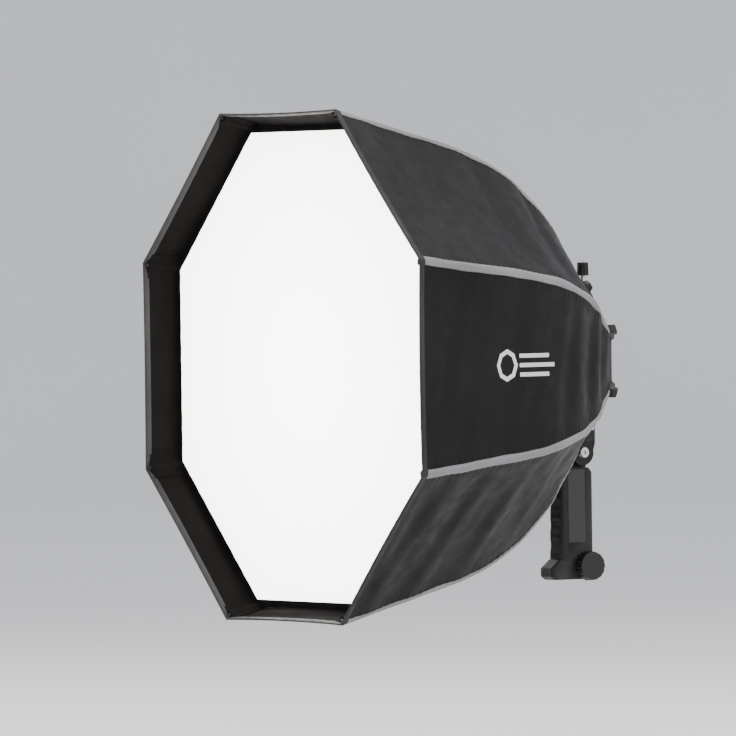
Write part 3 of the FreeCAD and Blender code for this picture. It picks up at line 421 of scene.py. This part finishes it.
def polymer_material(name, dark, light, rough, grain, gloss):
    """Moulded plastic: fine grain, paler on its sharp edges, partly from wear and partly as a
    painted highlight.
    """
    nodes = Nodes(name)
    tone = nodes.mix(nodes.spread(nodes.noise(40, 5), 0, 1), dark, light)
    edge = nodes.add("ShaderNodeNewGeometry").outputs["Pointiness"]
    # Sharp edges turn paler, partly wear and partly a painted highlight.
    wear_and_highlight = nodes.spread(edge, 0, 0.5, 0.51, 0.60)
    nodes.put(Base_Color=nodes.mix(wear_and_highlight, tone, WEAR_AND_HIGHLIGHT_TONE),
              Roughness=nodes.spread(nodes.noise(130, 4), rough - 0.06, rough + 0.12),
              Specular_IOR_Level=gloss)
    nodes.bump(nodes.noise(grain, 3), 0.00018, 0.45)
    return nodes.material


def metal_material(name, tone, rough, metal, stretch, gloss):
    """Turned or coated metal with fine lines and small wear."""
    nodes = Nodes(name)
    lines = nodes.noise(700, 5, stretch)
    low = tuple(c * 0.82 for c in tone)
    nodes.put(Base_Color=nodes.mix(nodes.spread(nodes.noise(60, 6), 0, 1), low, tone),
              Metallic=metal, Roughness=nodes.spread(lines, rough - 0.08, rough + 0.12),
              Specular_IOR_Level=gloss)
    nodes.bump(lines, 0.00006, 0.4)
    return nodes.material


def rod_material():
    """Pultruded fibreglass with faint lines along the rod."""
    nodes = Nodes("rod_fibreglass")
    lines = nodes.noise(300, 4, (1, 0.03, 1))
    nodes.put(Base_Color=nodes.mix(lines, (0.018, 0.018, 0.02), (0.05, 0.05, 0.052)),
              Roughness=nodes.spread(lines, 0.22, 0.38), Coat_Weight=0.4)
    nodes.bump(lines, 0.0001, 0.3)
    return nodes.material


def lining_material():
    """Silver coated inside of the shell."""
    nodes = Nodes("silver_lining")
    flakes = nodes.add("ShaderNodeTexVoronoi")
    flakes.inputs["Scale"].default_value = 420
    nodes.link(nodes.place, flakes.inputs["Vector"])
    nodes.put(Base_Color=nodes.mix(nodes.noise(14, 4), (0.62, 0.62, 0.63),
                                   (0.78, 0.78, 0.79)),
              Metallic=0.85, Roughness=nodes.spread(nodes.noise(80, 4), 0.28, 0.42))
    nodes.bump(nodes.combine(flakes.outputs["Distance"], nodes.noise(40, 4)), 0.0004, 0.5)
    return nodes.material


def make_materials():
    look = {}
    look["shell"] = cloth_material(
        "shell_nylon", dark=(0.0048, 0.0046, 0.0050), light=(0.0092, 0.0088, 0.0094),
        threads=1100, rough=0.50, sheen=0.01, gloss=0.10)
    look["lip"] = cloth_material(
        "lip_nylon", dark=(0.0042, 0.0037, 0.0034), light=(0.0072, 0.0066, 0.0062),
        threads=900, rough=0.85, sheen=0.0, gloss=0.03)
    look["tape"] = cloth_material(
        "seam_tape", dark=(0.15, 0.15, 0.153), light=(0.22, 0.22, 0.224),
        threads=1500, rough=0.62, sheen=0.1, gloss=0.3)
    look["binding"] = cloth_material(
        "rim_binding", dark=(0.014, 0.014, 0.0145), light=(0.028, 0.028, 0.029),
        threads=1500, rough=0.6, sheen=0.05, gloss=0.2)
    look["thread"] = cloth_material(
        "thread", dark=(0.26, 0.26, 0.26), light=(0.34, 0.34, 0.34),
        threads=2500, rough=0.6, sheen=0.1, gloss=0.3)
    look["print"] = cloth_material(
        "pale_print", dark=(0.55, 0.55, 0.54), light=(0.66, 0.66, 0.65),
        threads=1100, rough=0.6, sheen=0.0, gloss=0.3)
    look["lining"] = lining_material()
    # The diffuser and the baffle glow with painted light in place of the flash inside the softbox.
    look["diffuser"] = painted_glow_material("diffuser_cloth", strength=8.0)
    look["baffle"] = painted_glow_material("baffle_cloth_painted_glow", strength=0.8)
    look["polymer"] = polymer_material(
        "black_polymer", dark=(0.0035, 0.0035, 0.0038), light=(0.0070, 0.0070, 0.0074),
        rough=0.42, grain=900, gloss=0.16)
    look["plate"] = polymer_material(
        "grey_polymer", dark=(0.010, 0.010, 0.0105), light=(0.015, 0.015, 0.0155),
        rough=0.36, grain=500, gloss=0.25)
    look["rubber"] = polymer_material(
        "grip_rubber", dark=(0.0022, 0.0022, 0.0024), light=(0.0045, 0.0045, 0.0048),
        rough=0.66, grain=350, gloss=0.08)
    look["steel"] = metal_material(
        "satin_steel", tone=(0.62, 0.62, 0.63), rough=0.26, metal=1.0,
        stretch=(1, 1, 0.06), gloss=0.5)
    look["coated"] = metal_material(
        "black_metal", tone=(0.008, 0.008, 0.0085), rough=0.46, metal=0.0,
        stretch=(1, 1, 1), gloss=0.2)
    look["rod"] = rod_material()
    return look


# ---------------------------------------------------------------- pieces

PANEL_ROWS = 190
PANEL_COLUMNS = 22
RIM_GAP = 0.0012                    # the cloth starts this far inside the rim binding
LIP_OVERLAP = 0.004


def notch_across(s):
    """Share of the half panel taken by the knuckle's window at a length s."""
    r = profile.at(s)[0]
    corner = r / math.cos(HALF)
    opening = NOTCH_HALF * smooth_step((NOTCH_RADIUS + NOTCH_RAMP - corner) / NOTCH_RAMP)
    return opening / (r * math.tan(HALF))


def half_panel(number, side, look):
    """One half of a side panel, black outside, silver inside behind the black lip."""
    panel = panel_of(number, side)
    outer, inner = [], []
    for i in range(PANEL_ROWS + 1):
        s = RIM_GAP + (profile.length - RIM_GAP) * i / PANEL_ROWS
        start = notch_across(s)
        row_out, row_in = [], []
        for j in range(PANEL_COLUMNS + 1):
            share = start + (1 - start) * (j / PANEL_COLUMNS)
            across = half_across(side, share)
            row_out.append(shell_point(panel, across, s))
            row_in.append(shell_point(panel, across, s, -CLOTH))
        outer.append(row_out)
        inner.append(row_in)
    lip_rows = int(PANEL_ROWS * (LIP_DEPTH + LIP_OVERLAP) / profile.length)
    half = half_name(number, side)
    thing = slab(f"cloth_{half}", outer, inner, [look["shell"], look["lining"], look["lip"]],
                 flip=side > 0, inner_rule=lambda row: 2 if row < lip_rows else 1)
    hang_on_pleat(thing, [f"panel_{half}"])


def corner_point(number, q, s, lift):
    """Point near a corner: q is the signed distance from the corner line."""
    side = 1 if q >= 0 else -1
    r = profile.at(s)[0]
    share = abs(q) / (r * math.tan(HALF))
    return shell_point(panel_of(number, side), half_across(side, share), s, lift)


TAPE_HALF = 0.0060
TAPE_START = 0.0075
TAPE_UNDER = 0.00015                # height of the tape's underside over the cloth
TAPE_BODY = 0.0008
TAPE_PUFF = 0.0005                  # extra height away from its two edges
TAPE_CREASE = 0.0006                # dip along the corner it is folded over
TAPE_CREASE_HALF = 0.0012
TAPE_ROWS = 150
TAPE_COLUMNS = 12
STITCH_PITCH = 0.0042
STITCH_LENGTH = 0.0030
STITCH_RADIUS = 0.00028
STITCH_LIFT = 0.00125
STITCH_ENDS = 0.45                  # share of its thickness that a stitch has at its ends
STITCH_ROW = 0.72                   # share of the tape's half width at which a row lies
STITCH_FIRST = 0.003
STITCH_LAST = 0.004
THREAD_SIDES = 5


def tape_end():
    """Length at which the tape stops, in front of the knuckle."""
    s = profile.length
    while profile.at(s)[0] / math.cos(HALF) < NOTCH_RADIUS + 0.0005:
        s -= 0.001
    return s


def seam_tape(number, look):
    """Webbing folded over a corner seam."""
    end = tape_end()
    outer, inner = [], []
    for i in range(TAPE_ROWS + 1):
        s = TAPE_START + (end - TAPE_START) * i / TAPE_ROWS
        # The tape wanders a little to both sides of its seam.
        wander = 0.00035 * math.sin(s * 47 + number) + 0.0002 * math.sin(s * 131 + number)
        row_out, row_in = [], []
        for j in range(TAPE_COLUMNS + 1):
            q = TAPE_HALF * (2 * j / TAPE_COLUMNS - 1)
            puff = 1 - (abs(q) / TAPE_HALF) ** 6
            crease = math.exp(-(q / TAPE_CREASE_HALF) ** 2)
            crown = TAPE_BODY + TAPE_PUFF * puff - TAPE_CREASE * crease
            row_out.append(corner_point(number, q + wander, s, crown))
            row_in.append(corner_point(number, q + wander, s, TAPE_UNDER))
        outer.append(row_out)
        inner.append(row_in)
    thing = slab(f"seam_tape_{number}", outer, inner, [look["tape"]], flip=True)
    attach(thing, f"rib_{number}")
    stitches(number, look, end)


def stitches(number, look, end):
    """Two rows of thread along the tape, each stitch four rings of points with two caps."""
    points, faces = [], []
    for q in (-TAPE_HALF * STITCH_ROW, TAPE_HALF * STITCH_ROW):
        s = TAPE_START + STITCH_FIRST
        while s < end - STITCH_LAST:
            base = len(points)
            a = corner_point(number, q, s, STITCH_LIFT)
            b = corner_point(number, q, s + STITCH_LENGTH, STITCH_LIFT)
            along = (b - a).normalized()
            out = (corner_point(number, q, s, 0.002) - a).normalized()
            side = along.cross(out)
            rings = ((a, STITCH_ENDS), (a.lerp(b, 0.3), 1), (a.lerp(b, 0.7), 1), (b, STITCH_ENDS))
            for place, size in rings:
                for turn in range(THREAD_SIDES):
                    angle = 2 * math.pi * turn / THREAD_SIDES
                    points.append(place + side * (STITCH_RADIUS * size * math.cos(angle))
                                  + out * (STITCH_RADIUS * size * math.sin(angle)))
            for ring in range(len(rings) - 1):
                first = base + ring * THREAD_SIDES
                for turn in range(THREAD_SIDES):
                    p, n = first + turn, first + (turn + 1) % THREAD_SIDES
                    faces.append((p, n, n + THREAD_SIDES, p + THREAD_SIDES))
            last = base + (len(rings) - 1) * THREAD_SIDES
            faces.append(tuple(base + k for k in reversed(range(THREAD_SIDES))))
            faces.append(tuple(last + k for k in range(THREAD_SIDES)))
            s += STITCH_PITCH
    thing = mesh_object(f"tape_stitching_{number}", points, faces, [look["thread"]])
    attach(thing, f"rib_{number}")


RIM_SWELL = 0.06
RIM_CORE_LIMIT = 0.0004             # the inner layers stop this far from the cloth's edge
THROAT_CORE_LIMIT = 0.0001          # and at most this far beyond it at the rear
# Sections of the two bindings, wrapped round an edge of the cloth from its outside to its
# inside, as (length from the edge, height over the cloth).
RIM_SECTION = ((0.0062, 0.0007), (0.0035, 0.0009), (0.0010, 0.0009), (-0.0008, 0.0002),
               (-0.0008, -0.0014), (0.0010, -0.0021), (0.0035, -0.0021), (0.0062, -0.0019))
THROAT_SECTION = ((-0.0034, 0.0003), (-0.0030, 0.0007), (-0.0008, 0.0007), (0.0006, 0.0002),
                  (0.0006, -0.0012), (-0.0008, -0.0017), (-0.0030, -0.0017),
                  (-0.0034, -0.0014))


def core_height(height):
    """Height of a binding's inner layer: a quarter of the way out from the cloth's middle."""
    return -CLOTH / 2 + (height + CLOTH / 2) * 0.25


def rim_binding(number, side, look):
    """Half of one straight of the bound edge round the rim."""
    panel = panel_of(number, side)
    steps = 24
    outer, inner = [], []
    for i in range(steps + 1):
        share = i / steps
        across = half_across(side, share)
        swell = 1 + RIM_SWELL * math.sin(share * 40 + number)
        outer.append([shell_point(panel, across, s, lift * swell) for s, lift in RIM_SECTION])
        inner.append([shell_point(panel, across, max(s, RIM_CORE_LIMIT), core_height(lift))
                      for s, lift in RIM_SECTION])
    thing = slab(f"rim_binding_{half_name(number, side)}", outer, inner, [look["binding"]],
                 flip=side < 0)
    hang_on_pleat(thing)


def past_edge(panel, across, s, lift):
    """Shell point that may lie a little beyond the rear edge."""
    if s <= profile.length:
        return shell_point(panel, across, s, lift)
    step = 0.001
    end = shell_point(panel, across, profile.length, lift)
    before = shell_point(panel, across, profile.length - step, lift)
    return end + (end - before) * ((s - profile.length) / step)


def throat_binding(number, side, look):
    """Pale tape wrapped round the rear edge of one half panel, from the window to the fold."""
    panel = panel_of(number, side)
    edge = profile.length
    start = notch_across(edge)
    steps = 16
    outer, inner = [], []
    for i in range(steps + 1):
        across = half_across(side, start + (1 - start) * i / steps)
        outer.append([past_edge(panel, across, edge + back, lift)
                      for back, lift in THROAT_SECTION])
        inner.append([past_edge(panel, across, edge + min(back, THROAT_CORE_LIMIT),
                                core_height(lift)) for back, lift in THROAT_SECTION])
    thing = slab(f"throat_binding_{half_name(number, side)}", outer, inner, [look["tape"]],
                 flip=side > 0)
    hang_on_pleat(thing)


FLANGE_SET_BACK = 0.0010
FLANGE_INSIDE = 0.004               # its inner edge lies this far inside DIFFUSER_RADIUS
FLANGE_THICK = 0.0008
FLANGE_WAVE = 0.0006


def flange(number, side, look):
    """Half of one straight of the black band that carries the diffuser."""
    here = rib_angle(number) + side * HALF
    panel = panel_of(number, side)
    y = RIM_Y + LIP_DEPTH - FLANGE_SET_BACK
    hem = DIFFUSER_RADIUS - FLANGE_INSIDE
    steps, bands = 24, 5
    front, back = [], []
    for i in range(steps + 1):
        share = i / steps
        across = half_across(side, share)
        edge = shell_point(panel, across, LIP_DEPTH / math.cos(FRONT_SLOPE), -CLOTH - 0.0004)
        wave = FLANGE_WAVE * math.sin(share * 19 + number)
        inside = (radial(here) * hem + tangent(here) * (across * hem * math.tan(HALF))
                  + Vector((0, y + wave, AXIS_Z)))
        row = [inside.lerp(edge, j / bands) for j in range(bands + 1)]
        front.append(row)
        back.append([place + Vector((0, FLANGE_THICK, 0)) for place in row])
    thing = slab(f"flange_{half_name(number, side)}", front, back, [look["lip"]],
                 flip=side > 0)
    hang_on_pleat(thing)


COLLAR_GAP = 0.0003                 # between the collar and the hub
COLLAR_FALL = 0.0008
COLLAR_THICK = 0.0009
COLLAR_PLEAT = 0.0005
COLLAR_SLACK = 0.53                 # share of the rod's motion lost at the middle of a side


def throat_collar(number, side, look):
    """Part of the cloth ring between the shell's rear edge and the hub.

    It reaches from the window of one knuckle to the middle of a side, with its inner edge at the
    hub."""
    middle = rib_angle(number)
    columns, rings = 14, 6
    front, back, shares = [], [], []
    for i in range(columns + 1):
        row = []
        for j in range(rings + 1):
            out = j / rings
            inner = HUB_RADIUS + COLLAR_GAP
            first = math.asin(NOTCH_HALF / inner)
            turn = first + (HALF - first) * i / columns
            outer = COLLAR_RADIUS / math.cos(HALF - turn)
            r = inner + (outer - inner) * out
            pleat = COLLAR_PLEAT * math.sin(turn * 60 + number) * math.sin(math.pi * out)
            place = radial(middle + side * turn) * r
            row.append(place + Vector((0, COLLAR_Y - COLLAR_FALL * out + pleat, AXIS_Z)))
            shares.append(out * (1 - COLLAR_SLACK * turn / HALF))
        front.append(row)
        back.append([place + Vector((0, COLLAR_THICK, 0)) for place in row])
    thing = slab(f"throat_collar_{half_name(number, side)}", front, back, [look["shell"]],
                 flip=side < 0)
    # All sixteen parts stand for one CAD node, which the first of them replaces.
    if number == 1 and side > 0:
        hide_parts("throat_collar")
    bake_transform(thing)


CENTRE_SHARE = 0.001                # the sectors stop just short of the axis
HEM_WIDTH = 0.10                    # share of the radius that the ripples by the hem reach in
HEM_WAVE = 0.0004
DIFFUSER_BULGE = 0.0022
DIFFUSER_THICK = 0.0007


def diffuser_sectors(prefix, node, count, flat, y, material):
    """Octagonal cloth in narrow sectors, carried by the head."""
    step = 2 * math.pi / count
    per_side = count // SIDES
    for index in range(count):
        start, end = index * step - HALF, (index + 1) * step - HALF
        side_centre = math.floor((start + step / 2 + HALF) / (2 * HALF)) * 2 * HALF
        rings, turns = 26, 8
        front, back = [], []
        for i in range(rings + 1):
            share = CENTRE_SHARE + (1 - CENTRE_SHARE) * i / rings
            row_front, row_back = [], []
            for j in range(turns + 1):
                angle = start + step * j / turns
                reach = flat / math.cos(angle - side_centre) * share
                pull = math.exp(-((1 - share) / HEM_WIDTH) ** 2)
                wave = HEM_WAVE * math.sin(angle * 64) * pull * (1 - pull * 0.5)
                bulge = -DIFFUSER_BULGE * (1 - share * share)
                place = radial(angle) * reach + Vector((0, y + wave + bulge, AXIS_Z))
                row_front.append(place)
                row_back.append(place + Vector((0, DIFFUSER_THICK, 0)))
            front.append(row_front)
            back.append(row_back)
        thing = slab(f"{prefix}_{index + 1}", front, back, [material])
        if index == 0:
            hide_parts(node)
        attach(thing, "head")
        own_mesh(thing)


MARK_GRID = 8
MARK_LIFT = 0.0002
MARK_S = 0.178                      # length from the rim to the middle of the mark
RING_BACK = 0.026
RING_OUTER = 0.0190
RING_INNER = 0.0135
BARS_BACK = 0.004
# Bars above the middle line as (low, high, length); the first is half of the middle bar.
BARS = ((0.0, 0.0024, 0.068), (0.0085, 0.0133, 0.056))


def inside_quad(corners, item, u, v):
    """One coordinate of the point at (u, v) between four corners."""
    return (corners[0][item] * (1 - u) * (1 - v) + corners[1][item] * u * (1 - v)
            + corners[2][item] * u * v + corners[3][item] * (1 - u) * v)


def square_outline(cells):
    """Numbers of the points round a square grid, in order."""
    edge = [i * (cells + 1) for i in range(cells + 1)]
    edge += [cells * (cells + 1) + j for j in range(1, cells + 1)]
    edge += [i * (cells + 1) + cells for i in range(cells - 1, -1, -1)]
    edge += list(range(cells - 1, 0, -1))
    return edge


def add_quad(corners, points, faces):
    """Add a thin patch on the +X panel; corners are given as (s, height)."""
    for lift in (MARK_LIFT, -MARK_LIFT):
        base = len(points)
        for i in range(MARK_GRID + 1):
            for j in range(MARK_GRID + 1):
                u, v = i / MARK_GRID, j / MARK_GRID
                s = inside_quad(corners, 0, u, v)
                z = inside_quad(corners, 1, u, v)
                width = profile.at(s)[0] * math.tan(HALF)
                points.append(shell_point(0, z / width, s, lift))
        for i in range(MARK_GRID):
            for j in range(MARK_GRID):
                a = base + i * (MARK_GRID + 1) + j
                face = (a, a + MARK_GRID + 1, a + MARK_GRID + 2, a + 1)
                faces.append(face if lift > 0 else tuple(reversed(face)))
    top, low = base - (MARK_GRID + 1) ** 2, base
    edge = square_outline(MARK_GRID)
    for a, b in zip(edge, edge[1:] + edge[:1]):
        faces.append((top + b, top + a, low + a, low + b))


def printed_mark(look):
    """Plain printed emblem on the +X panel: an octagon outline and three bars."""
    ring_s = MARK_S - RING_BACK
    bar_s = MARK_S - BARS_BACK
    for name, number, side, sign in (("mark_upper", 1, -1, 1), ("mark_lower", 8, 1, -1)):
        quads = []
        for k in range(4):
            a, b = math.pi / 4 * k, math.pi / 4 * (k + 1)
            quads.append([(ring_s + size * math.cos(angle), sign * size * math.sin(angle))
                          for size, angle in ((RING_INNER, a), (RING_OUTER, a),
                                              (RING_OUTER, b), (RING_INNER, b))])
        for low, high, length in BARS:
            quads.append([(bar_s, sign * low), (bar_s + length, sign * low),
                          (bar_s + length, sign * high), (bar_s, sign * high)])
        points, faces = [], []
        for corners in quads:
            add_quad(corners, points, faces)
        thing = mesh_object(name, points, faces, [look["print"]])
        hang_on_pleat(thing)


POCKET_START = 0.004
POCKET_LENGTH = 0.040
POCKET_HALF = 0.017
POCKET_HUMP = 0.0072                # room for the rod's tip
POCKET_HUMP_HALF = 0.0055


def rim_pocket(number, look):
    """Reinforcement sewn inside the rim corner, where the rod's tip sits."""
    outer, inner = [], []
    steps, cross = 16, 12
    for i in range(steps + 1):
        s = POCKET_START + POCKET_LENGTH * i / steps
        row_out, row_in = [], []
        for j in range(cross + 1):
            q = POCKET_HALF * (2 * j / cross - 1)
            hump = POCKET_HUMP * math.exp(-(q / POCKET_HUMP_HALF) ** 2)
            row_out.append(corner_point(number, q, s, -CLOTH - 0.0003))
            row_in.append(corner_point(number, q, s, -CLOTH - 0.0010 - hump))
        outer.append(row_out)
        inner.append(row_in)
    thing = slab(f"rim_pocket_{number}", outer, inner, [look["lip"]], flip=True)
    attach(thing, f"rib_{number}")


SLEEVE_START = 0.0126               # the walls start here, the brim nearer to the hub
SLEEVE_BRIM_START = 0.0052
SLEEVE_END = 0.058
SLEEVE_HALF = 0.0069
SLEEVE_FLANGE = 0.0028
SLEEVE_THICK = 0.0005
SLEEVE_CLOSE_START = 0.048          # from here on the sleeve narrows round the rod
SLEEVE_CLOSE_LENGTH = 0.010
SLEEVE_NARROWS = 0.0037
SLEEVE_FLOOR = 0.0058               # the floor climbs to this height away from the hub
SLEEVE_FLOOR_RISES = 0.0050
SLEEVE_FLOOR_SLOPE = 0.575
SLEEVE_FLOOR_DROP = 0.0085
SLEEVE_BRIM = 0.0150                # most height of the brim
SLEEVE_BRIM_RISES = 0.0011
SLEEVE_BRIM_DROOP = 0.27            # fall of the brim's flange, as a share of its width
SLEEVE_WALL_STEP = 2.8              # how quickly the walls step back from the brim


def corner_sleeve(number, look):
    """Black cloth channel sewn under the window of a knuckle, closing round the rod.

    Lengths run along the rod from its hinge, heights from the hinge towards the cloth. Only
    the brim starts close to the hub: the walls step back so that they clear it when folded."""
    middle = rib_angle(number)
    hinge = radial(middle) * HINGE_RADIUS + Vector((0, HINGE_Y, AXIS_Z))
    along = radial(middle) * math.sin(ROD_SLOPE) - Vector((0, math.cos(ROD_SLOPE), 0))
    rise = radial(middle) * math.cos(ROD_SLOPE) + Vector((0, math.sin(ROD_SLOPE), 0))

    def place(length, height, q):
        return hinge + along * length + rise * height + tangent(middle) * q

    steps, turns = 22, 20
    outer, inner = [], []
    for i in range(steps + 1):
        share = i / steps
        low = SLEEVE_START + (SLEEVE_END - SLEEVE_START) * share
        high = SLEEVE_BRIM_START + (SLEEVE_END - SLEEVE_BRIM_START) * share
        close = smooth_step((low - SLEEVE_CLOSE_START) / SLEEVE_CLOSE_LENGTH)
        half = SLEEVE_HALF - SLEEVE_NARROWS * close
        floor = min(SLEEVE_FLOOR, low * SLEEVE_FLOOR_SLOPE - SLEEVE_FLOOR_DROP)
        floor += SLEEVE_FLOOR_RISES * close
        # The brim stays under the collar near the hub and under the shell further out.
        rise_now = high * math.cos(ROD_SLOPE) + SLEEVE_BRIM_RISES
        brim = min(SLEEVE_BRIM, rise_now / math.sin(ROD_SLOPE))
        drop = SLEEVE_FLANGE * SLEEVE_BRIM_DROOP
        for rows, shrink in ((outer, 0.0), (inner, SLEEVE_THICK)):
            row = [place(high, brim - drop - shrink, half + SLEEVE_FLANGE)]
            for j in range(turns + 1):
                angle = math.pi * j / turns
                sweep, dip = math.cos(angle), math.sqrt(max(math.sin(angle), 0))
                q = math.copysign(math.sqrt(abs(sweep)), sweep) * (half - shrink)
                row.append(place(high + (low - high) * min(1, dip * SLEEVE_WALL_STEP),
                                 brim + (floor + shrink - brim) * dip - shrink * (1 - dip), q))
            row.append(place(high, brim - drop - shrink, -half - SLEEVE_FLANGE))
            rows.append(row)
    thing = slab(f"corner_sleeve_{number}", outer, inner, [look["lip"]])
    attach(thing, f"rib_{number}")


# ---------------------------------------------------------------- CAD nodes

NODE_LOOKS = {
    "grip_core": "polymer", "grip_plates": "plate", "grip_sleeve": "rubber",
    "stand_bush": "steel", "stand_knob": "polymer", "stand_screw": "steel",
    "tilt_bolt": "steel", "tilt_washers": "steel", "tilt_knob": "polymer",
    "yoke": "coated", "yoke_screws": "steel", "hub_ring": "polymer", "hub_pins": "steel",
    "hub_cover": "coated", "hub_screws": "steel", "clamp_knob": "polymer",
    "clamp_screw": "steel"}
BEVELS = {"grip_core": 0.0012, "grip_plates": 0.0005, "grip_sleeve": 0.0012,
          "stand_knob": 0.0008, "tilt_knob": 0.0007, "clamp_knob": 0.0006,
          "yoke": 0.0009, "hub_ring": 0.0007, "hub_cover": 0.0007}
KNUCKLE_BEVEL = 0.0005


def node_look(node):
    """Name of the material a CAD node wears, or None for a node that cloth replaces."""
    if node.startswith("rib_knuckle"):
        return "polymer"
    if node.startswith("rib_rivet"):
        return "steel"
    if node.startswith("rib_"):
        return "rod"
    return NODE_LOOKS.get(node)


def dress_cad_nodes(look):
    """Give the hard CAD pieces their materials and soft edges."""
    for thing in list(bpy.data.objects):
        node = thing.get("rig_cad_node")
        if node is None or node_look(node) is None:
            continue
        thing.data.materials.clear()
        thing.data.materials.append(look[node_look(node)])
        width = KNUCKLE_BEVEL if node.startswith("rib_knuckle") else BEVELS.get(node)
        if width:
            bevel = thing.modifiers.new("soft_edges", "BEVEL")
            bevel.width = width
            bevel.segments = 2
            bevel.limit_method = "ANGLE"
            bevel.angle_limit = math.radians(35)


# ---------------------------------------------------------------- stage

FLOOR_Z = -0.25
FLOOR_RADIUS = 13.5
FLOOR_BEND = 2.5                    # radius of the curve between the floor and the wall
WALL_HEIGHT = 7.0


def backdrop():
    """Pale floor that curves up into a round wall far behind the camera's path."""
    turns, bends = 96, 8
    points, faces = [], []
    section = [(4.0, 0.0), (9.0, 0.0), (FLOOR_RADIUS, 0.0)]
    for k in range(1, bends + 1):
        bend = math.pi / 2 * k / bends
        section.append((FLOOR_RADIUS + FLOOR_BEND * math.sin(bend),
                        FLOOR_BEND * (1 - math.cos(bend))))
    section.append((FLOOR_RADIUS + FLOOR_BEND, WALL_HEIGHT))
    for r, z in section:
        for k in range(turns):
            angle = 2 * math.pi * k / turns
            points.append((r * math.cos(angle), r * math.sin(angle), FLOOR_Z + z))
    faces.append(tuple(range(turns)))
    for ring in range(len(section) - 1):
        for k in range(turns):
            a, b = ring * turns + k, ring * turns + (k + 1) % turns
            faces.append((a, a + turns, b + turns, b))
    nodes = Nodes("backdrop_paper")
    tone = nodes.mix(nodes.noise(1.3, 3), (0.78, 0.78, 0.785), (0.82, 0.82, 0.825))
    nodes.put(Base_Color=tone, Roughness=0.9)
    nodes.bump(nodes.noise(120, 3), 0.0004, 0.15)
    floor = mesh_object("backdrop", points, faces, [nodes.material])


def area_light(name, place, target, size, power):
    """Round soft light aimed at a point; power in watts."""
    data = bpy.data.lights.new(name, "AREA")
    data.shape = "DISK"
    data.size = size
    data.energy = power
    thing = bpy.data.objects.new(name, data)
    bpy.context.scene.collection.objects.link(thing)
    thing.location = place
    aim = Vector(target) - Vector(place)
    thing.rotation_euler = aim.to_track_quat("-Z", "Y").to_euler()


def lights():
    middle = (0, -0.15, 0.25)
    area_light("key", (2.6, -2.6, 2.8), middle, size=2.4, power=110)
    area_light("side", (3.2, 1.6, 1.6), middle, size=2.0, power=70)
    area_light("top", (-0.4, 0.8, 3.4), middle, size=2.6, power=80)
    area_light("far", (-3.0, -1.0, 2.0), middle, size=2.4, power=50)
    world = bpy.data.worlds.new("studio")
    world.use_nodes = True
    sky = world.node_tree.nodes["Background"]
    sky.inputs["Color"].default_value = (0.92, 0.94, 0.97, 1)
    sky.inputs["Strength"].default_value = 1.05
    bpy.context.scene.world = world


def camera():
    """Long lens on the photo's side of the softbox: 56.6 degrees round, nearly level."""
    turn, rise, roll = math.radians(56.6), math.radians(0.73), math.radians(-0.78)
    distance, lens = 10.657, 440.2
    right = Vector((math.cos(turn), math.sin(turn), 0))
    back = Vector((math.sin(turn) * math.cos(rise), -math.cos(turn) * math.cos(rise),
                   math.sin(rise)))
    up = back.cross(right)
    right = right * math.cos(roll) + up * math.sin(roll)
    up = back.cross(right)
    # The photo doesn't have the middle of the softbox quite in its middle.
    behind_rim, aside, below = 0.150, 0.0219, 0.0038
    target = Vector((0, RIM_Y + behind_rim, AXIS_Z)) - right * aside - up * below
    data = bpy.data.cameras.new("camera")
    data.lens = lens
    data.sensor_width = 36
    data.clip_end = 100
    thing = bpy.data.objects.new("camera", data)
    bpy.context.scene.collection.objects.link(thing)
    turned = Matrix((right, up, back)).transposed().to_4x4()
    turned.translation = target + back * distance
    thing.matrix_world = turned
    bpy.context.scene.camera = thing


# ---------------------------------------------------------------- build

def build():
    look = make_materials()
    dress_cad_nodes(look)
    for number in range(1, SIDES + 1):
        for side in (1, -1):
            half_panel(number, side, look)
            rim_binding(number, side, look)
            flange(number, side, look)
            throat_binding(number, side, look)
            throat_collar(number, side, look)
        seam_tape(number, look)
        rim_pocket(number, look)
        corner_sleeve(number, look)
    diffuser_sectors("diffuser", "front_diffuser", 32, DIFFUSER_RADIUS - 0.001,
                     RIM_Y + LIP_DEPTH - 0.0022, look["diffuser"])
    diffuser_sectors("baffle", "inner_baffle", 16, BAFFLE_RADIUS, BAFFLE_Y, look["baffle"])
    printed_mark(look)
    backdrop()
    lights()
    camera()


build()
